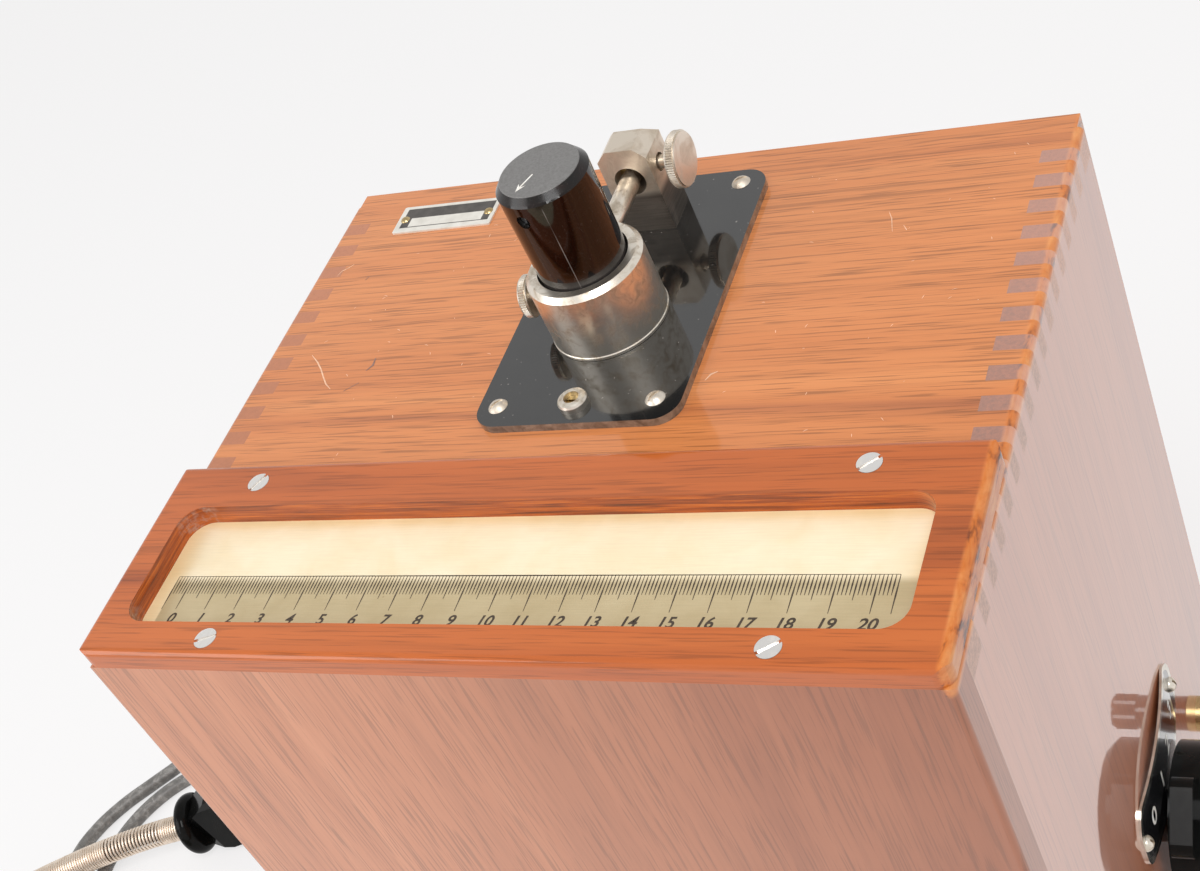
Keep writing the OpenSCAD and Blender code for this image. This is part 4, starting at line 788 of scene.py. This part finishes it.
# Divisions in millimetres with a line over them, and a number in front of each long tick
def scale_print():
    bm = bmesh.new()
    z = SCALE_TOP + PRINT_LIFT
    right = SCALE_LEFT + DIVISIONS * DIVISION
    add_ribbon(bm, [(SCALE_LEFT, SCALE_LINE_Y), (0, SCALE_LINE_Y), (right, SCALE_LINE_Y)], TICK_W, z)
    for i in range(DIVISIONS + 1):
        x = SCALE_LEFT + i * DIVISION
        length = tick_length(i)
        ends = (SCALE_LINE_Y, SCALE_LINE_Y - length / 2, SCALE_LINE_Y - length)
        add_ribbon(bm, [(x, y) for y in ends], TICK_W, z)
    for k in range(DIVISIONS // 10):
        at = (SCALE_LEFT + (5 + 10 * k) * DIVISION, SCALE_LINE_Y - NUMBER_TOP - NUMBER_H, z)
        add_text(bm, str(k), NUMBER_H, at, (1, 0, 0), (0, 1, 0), NUMBER_SLANT, NUMBER_WEIGHT)
    mesh_piece("scale_print", bm, "scale_ink")


# Arrow on the knob's top: a barbed head and a thin shaft
def knob_arrow():
    tip = Vector((-0.0050, 0.0162))
    tail = Vector((-0.0023, 0.0232))
    ahead = (tip - tail).normalized()
    across = Vector((-ahead.y, ahead.x))
    barb = tip - ahead * 0.0031
    neck = tip - ahead * 0.0021
    barb_w = across * 0.00135
    neck_w = across * 0.00028
    tail_w = across * 0.00024
    outline = [tip, barb + barb_w, neck + neck_w, tail + tail_w, tail - tail_w, neck - neck_w, barb - barb_w]
    bm = bmesh.new()
    bm.faces.new([bm.verts.new((p.x, p.y, KNOB_TOP + PRINT_LIFT)) for p in outline])
    bmesh.ops.triangulate(bm, faces=bm.faces[:])
    mesh_piece("knob_arrow", bm, "white_ink", "torsion_head")


# Outer face of the bowed dial plate at a place along it
def dial_surface(y):
    reach = min(abs(y - DIAL_Y), DIAL_HALF)
    return CASE_RIGHT + DIAL_BOW + DIAL_T - DIAL_R + math.sqrt(DIAL_R ** 2 - reach ** 2)


# Plain numbers along the dial plate, bent to its bow
def dial_numbers():
    bm = bmesh.new()
    for k in range(DIAL_NUMBERS):
        y = DIAL_Y + (k - (DIAL_NUMBERS - 1) / 2) * DIAL_NUMBER_STEP
        at = (0, y, DIAL_Z - 0.003)
        add_text(bm, str(k), DIAL_NUMBER_H, at, (0, 1, 0), (0, 0, 1), slant=0.1, weight=0.00012)
    for v in bm.verts:
        v.co.x = dial_surface(v.co.y) + PRINT_LIFT
    mesh_piece("dial_numbers", bm, "white_ink")


# The larger scratches and dents in the lacquer of the top, where the photograph has them:
# points and a width, in millimetres
def lacquer_marks(z):
    pale = [([(-104.7, 21.2), (-101, 17.8), (-98.1, 14.5), (-95.8, 11.3), (-93.1, 7.8), (-90.4, 5.5)], 0.45),
            ([(-112.9, 58.5), (-112.1, 60.8), (-110, 62.2), (-108.5, 63.8)], 0.35),
            ([(71.9, 64.1), (73.3, 61.1), (74.7, 55.3)], 0.3),
            ([(77.4, 57.7), (78.8, 55.4), (79.5, 56.4)], 0.3),
            ([(34.3, 0.2), (35.4, 2.4), (37.2, 3.4)], 0.7)]
    dents = [([(-79.6, 17.9), (-79.2, 14.8), (-80.7, 12.6)], 0.9), ([(-99.7, 57), (-100.4, 55.1)], 0.7),
             ([(-80.9, 7.5), (-85, 4.3)], 0.8)]
    for name, marks, slot in (("lacquer_scratches", pale, "scratch"), ("lacquer_dents", dents, "dark_dent")):
        bm = bmesh.new()
        for points, width in marks:
            add_ribbon(bm, [(x * MM, y * MM) for x, y in points], width * MM, z)
        mesh_piece(name, bm, slot)


# Small marks at random, clear of the head plate and the tag
def lacquer_specks(z):
    draw = random.Random(11)
    bm = bmesh.new()
    for _ in range(90):
        x, y = draw.uniform(-0.105, 0.108), draw.uniform(-0.028, 0.088)
        length, angle = draw.uniform(0.0003, 0.0016), draw.uniform(0, math.pi)
        under_plate = -0.034 < x < 0.034
        under_tag = x < -0.06 and y > 0.074
        if under_plate or under_tag:
            continue
        end = (x + length * math.cos(angle), y + length * math.sin(angle))
        middle = ((x + end[0]) / 2, (y + end[1]) / 2 + 0.1 * length)
        add_ribbon(bm, [(x, y), middle, end], 0.00022, z)
    mesh_piece("lacquer_specks", bm, "scratch")


scale_print()
knob_arrow()
dial_numbers()
lacquer_marks(CASE_TOP + PRINT_LIFT)
lacquer_specks(CASE_TOP + PRINT_LIFT)
soften("scale_frame", width=0.0011, segments=3, angle=60)
soften("head_plate", width=0.0004, segments=2, angle=60)
soften("selector_knob", width=0.0014, segments=4, angle=40)
soften("guide_block", width=0.0002, segments=1, angle=50)

# Floor, light and the white surroundings. FLOOR_GLOW is how far the floor shows as plain white;
# the rest is its own shade, which holds the object's shadow. The world lights the object with one
# strength and is seen with another, which falls off towards the zenith.
FLOOR_SIZE = 12
FLOOR_GLOW = 0.72
WORLD_LIGHT = 0.6
WORLD_LOW, WORLD_HIGH = 1.0, 0.7
FALL_FROM, FALL_TO = 0.62, 0.74


# 1 for rays that show or mirror a thing or see it through glass, 0 for those that light
def seen_rays(tree):
    path = tree.nodes.new("ShaderNodeLightPath")
    out = path.outputs["Is Camera Ray"]
    for kind in ("Is Glossy Ray", "Is Transmission Ray"):
        either = tree.nodes.new("ShaderNodeMath")
        either.operation = "MAXIMUM"
        tree.links.new(out, either.inputs[0])
        tree.links.new(path.outputs[kind], either.inputs[1])
        out = either.outputs["Value"]
    return out


def make_floor():
    bpy.ops.mesh.primitive_plane_add(size=FLOOR_SIZE)
    floor = bpy.context.object
    floor.name = "floor"
    s = Shader("floor")
    s.set(Base_Color=rgb(0.92, 0.92, 0.92), Roughness=0.7, Specular_IOR_Level=0.2)
    glow = s.add("ShaderNodeEmission")
    glow.inputs["Color"].default_value = rgb(0.955, 0.945, 0.945)
    mixed = s.add("ShaderNodeMixShader")
    s.join(s.math("MULTIPLY", seen_rays(s.tree), FLOOR_GLOW), mixed.inputs["Fac"])
    s.join(s.bsdf.outputs["BSDF"], mixed.inputs[1])
    s.join(glow.outputs["Emission"], mixed.inputs[2])
    s.join(mixed.outputs["Shader"], s.tree.nodes["Material Output"].inputs["Surface"])
    floor.data.materials.append(s.mat)


def make_world():
    world = bpy.data.worlds.new("world")
    world.use_nodes = True
    tree = world.node_tree
    lit = tree.nodes["Background"]
    lit.inputs["Color"].default_value = rgb(1, 1, 1)
    lit.inputs["Strength"].default_value = WORLD_LIGHT
    coords = tree.nodes.new("ShaderNodeTexCoord")
    split = tree.nodes.new("ShaderNodeSeparateXYZ")
    tree.links.new(coords.outputs["Generated"], split.inputs["Vector"])
    fade = tree.nodes.new("ShaderNodeMapRange")
    fade.inputs["From Min"].default_value = FALL_FROM
    fade.inputs["From Max"].default_value = FALL_TO
    fade.inputs["To Min"].default_value = WORLD_LOW
    fade.inputs["To Max"].default_value = WORLD_HIGH
    tree.links.new(split.outputs["Z"], fade.inputs["Value"])
    seen = tree.nodes.new("ShaderNodeBackground")
    tree.links.new(fade.outputs["Result"], seen.inputs["Strength"])
    blend = tree.nodes.new("ShaderNodeMixShader")
    tree.links.new(seen_rays(tree), blend.inputs["Fac"])
    tree.links.new(lit.outputs["Background"], blend.inputs[1])
    tree.links.new(seen.outputs["Background"], blend.inputs[2])
    tree.links.new(blend.outputs["Shader"], tree.nodes["World Output"].inputs["Surface"])
    scene.world = world


# Square lamp of a size in metres and a power in watts, aimed at a point
def softbox(name, at, aim, size, power):
    data = bpy.data.lights.new(name, "AREA")
    data.shape = "SQUARE"
    data.size = size
    data.energy = power
    lamp = bpy.data.objects.new(name, data)
    lamp.location = at
    lamp.rotation_euler = (Vector(aim) - Vector(at)).to_track_quat("-Z", "Y").to_euler()
    scene.collection.objects.link(lamp)


make_floor()
make_world()
softbox("key", at=(0.43, -0.63, 1.64), aim=(0, 0, 0.3), size=0.7, power=14)
softbox("fill", at=(-1.2, -0.9, 0.9), aim=(0, 0, 0.2), size=1.0, power=8)
scene.view_settings.view_transform = "Standard"
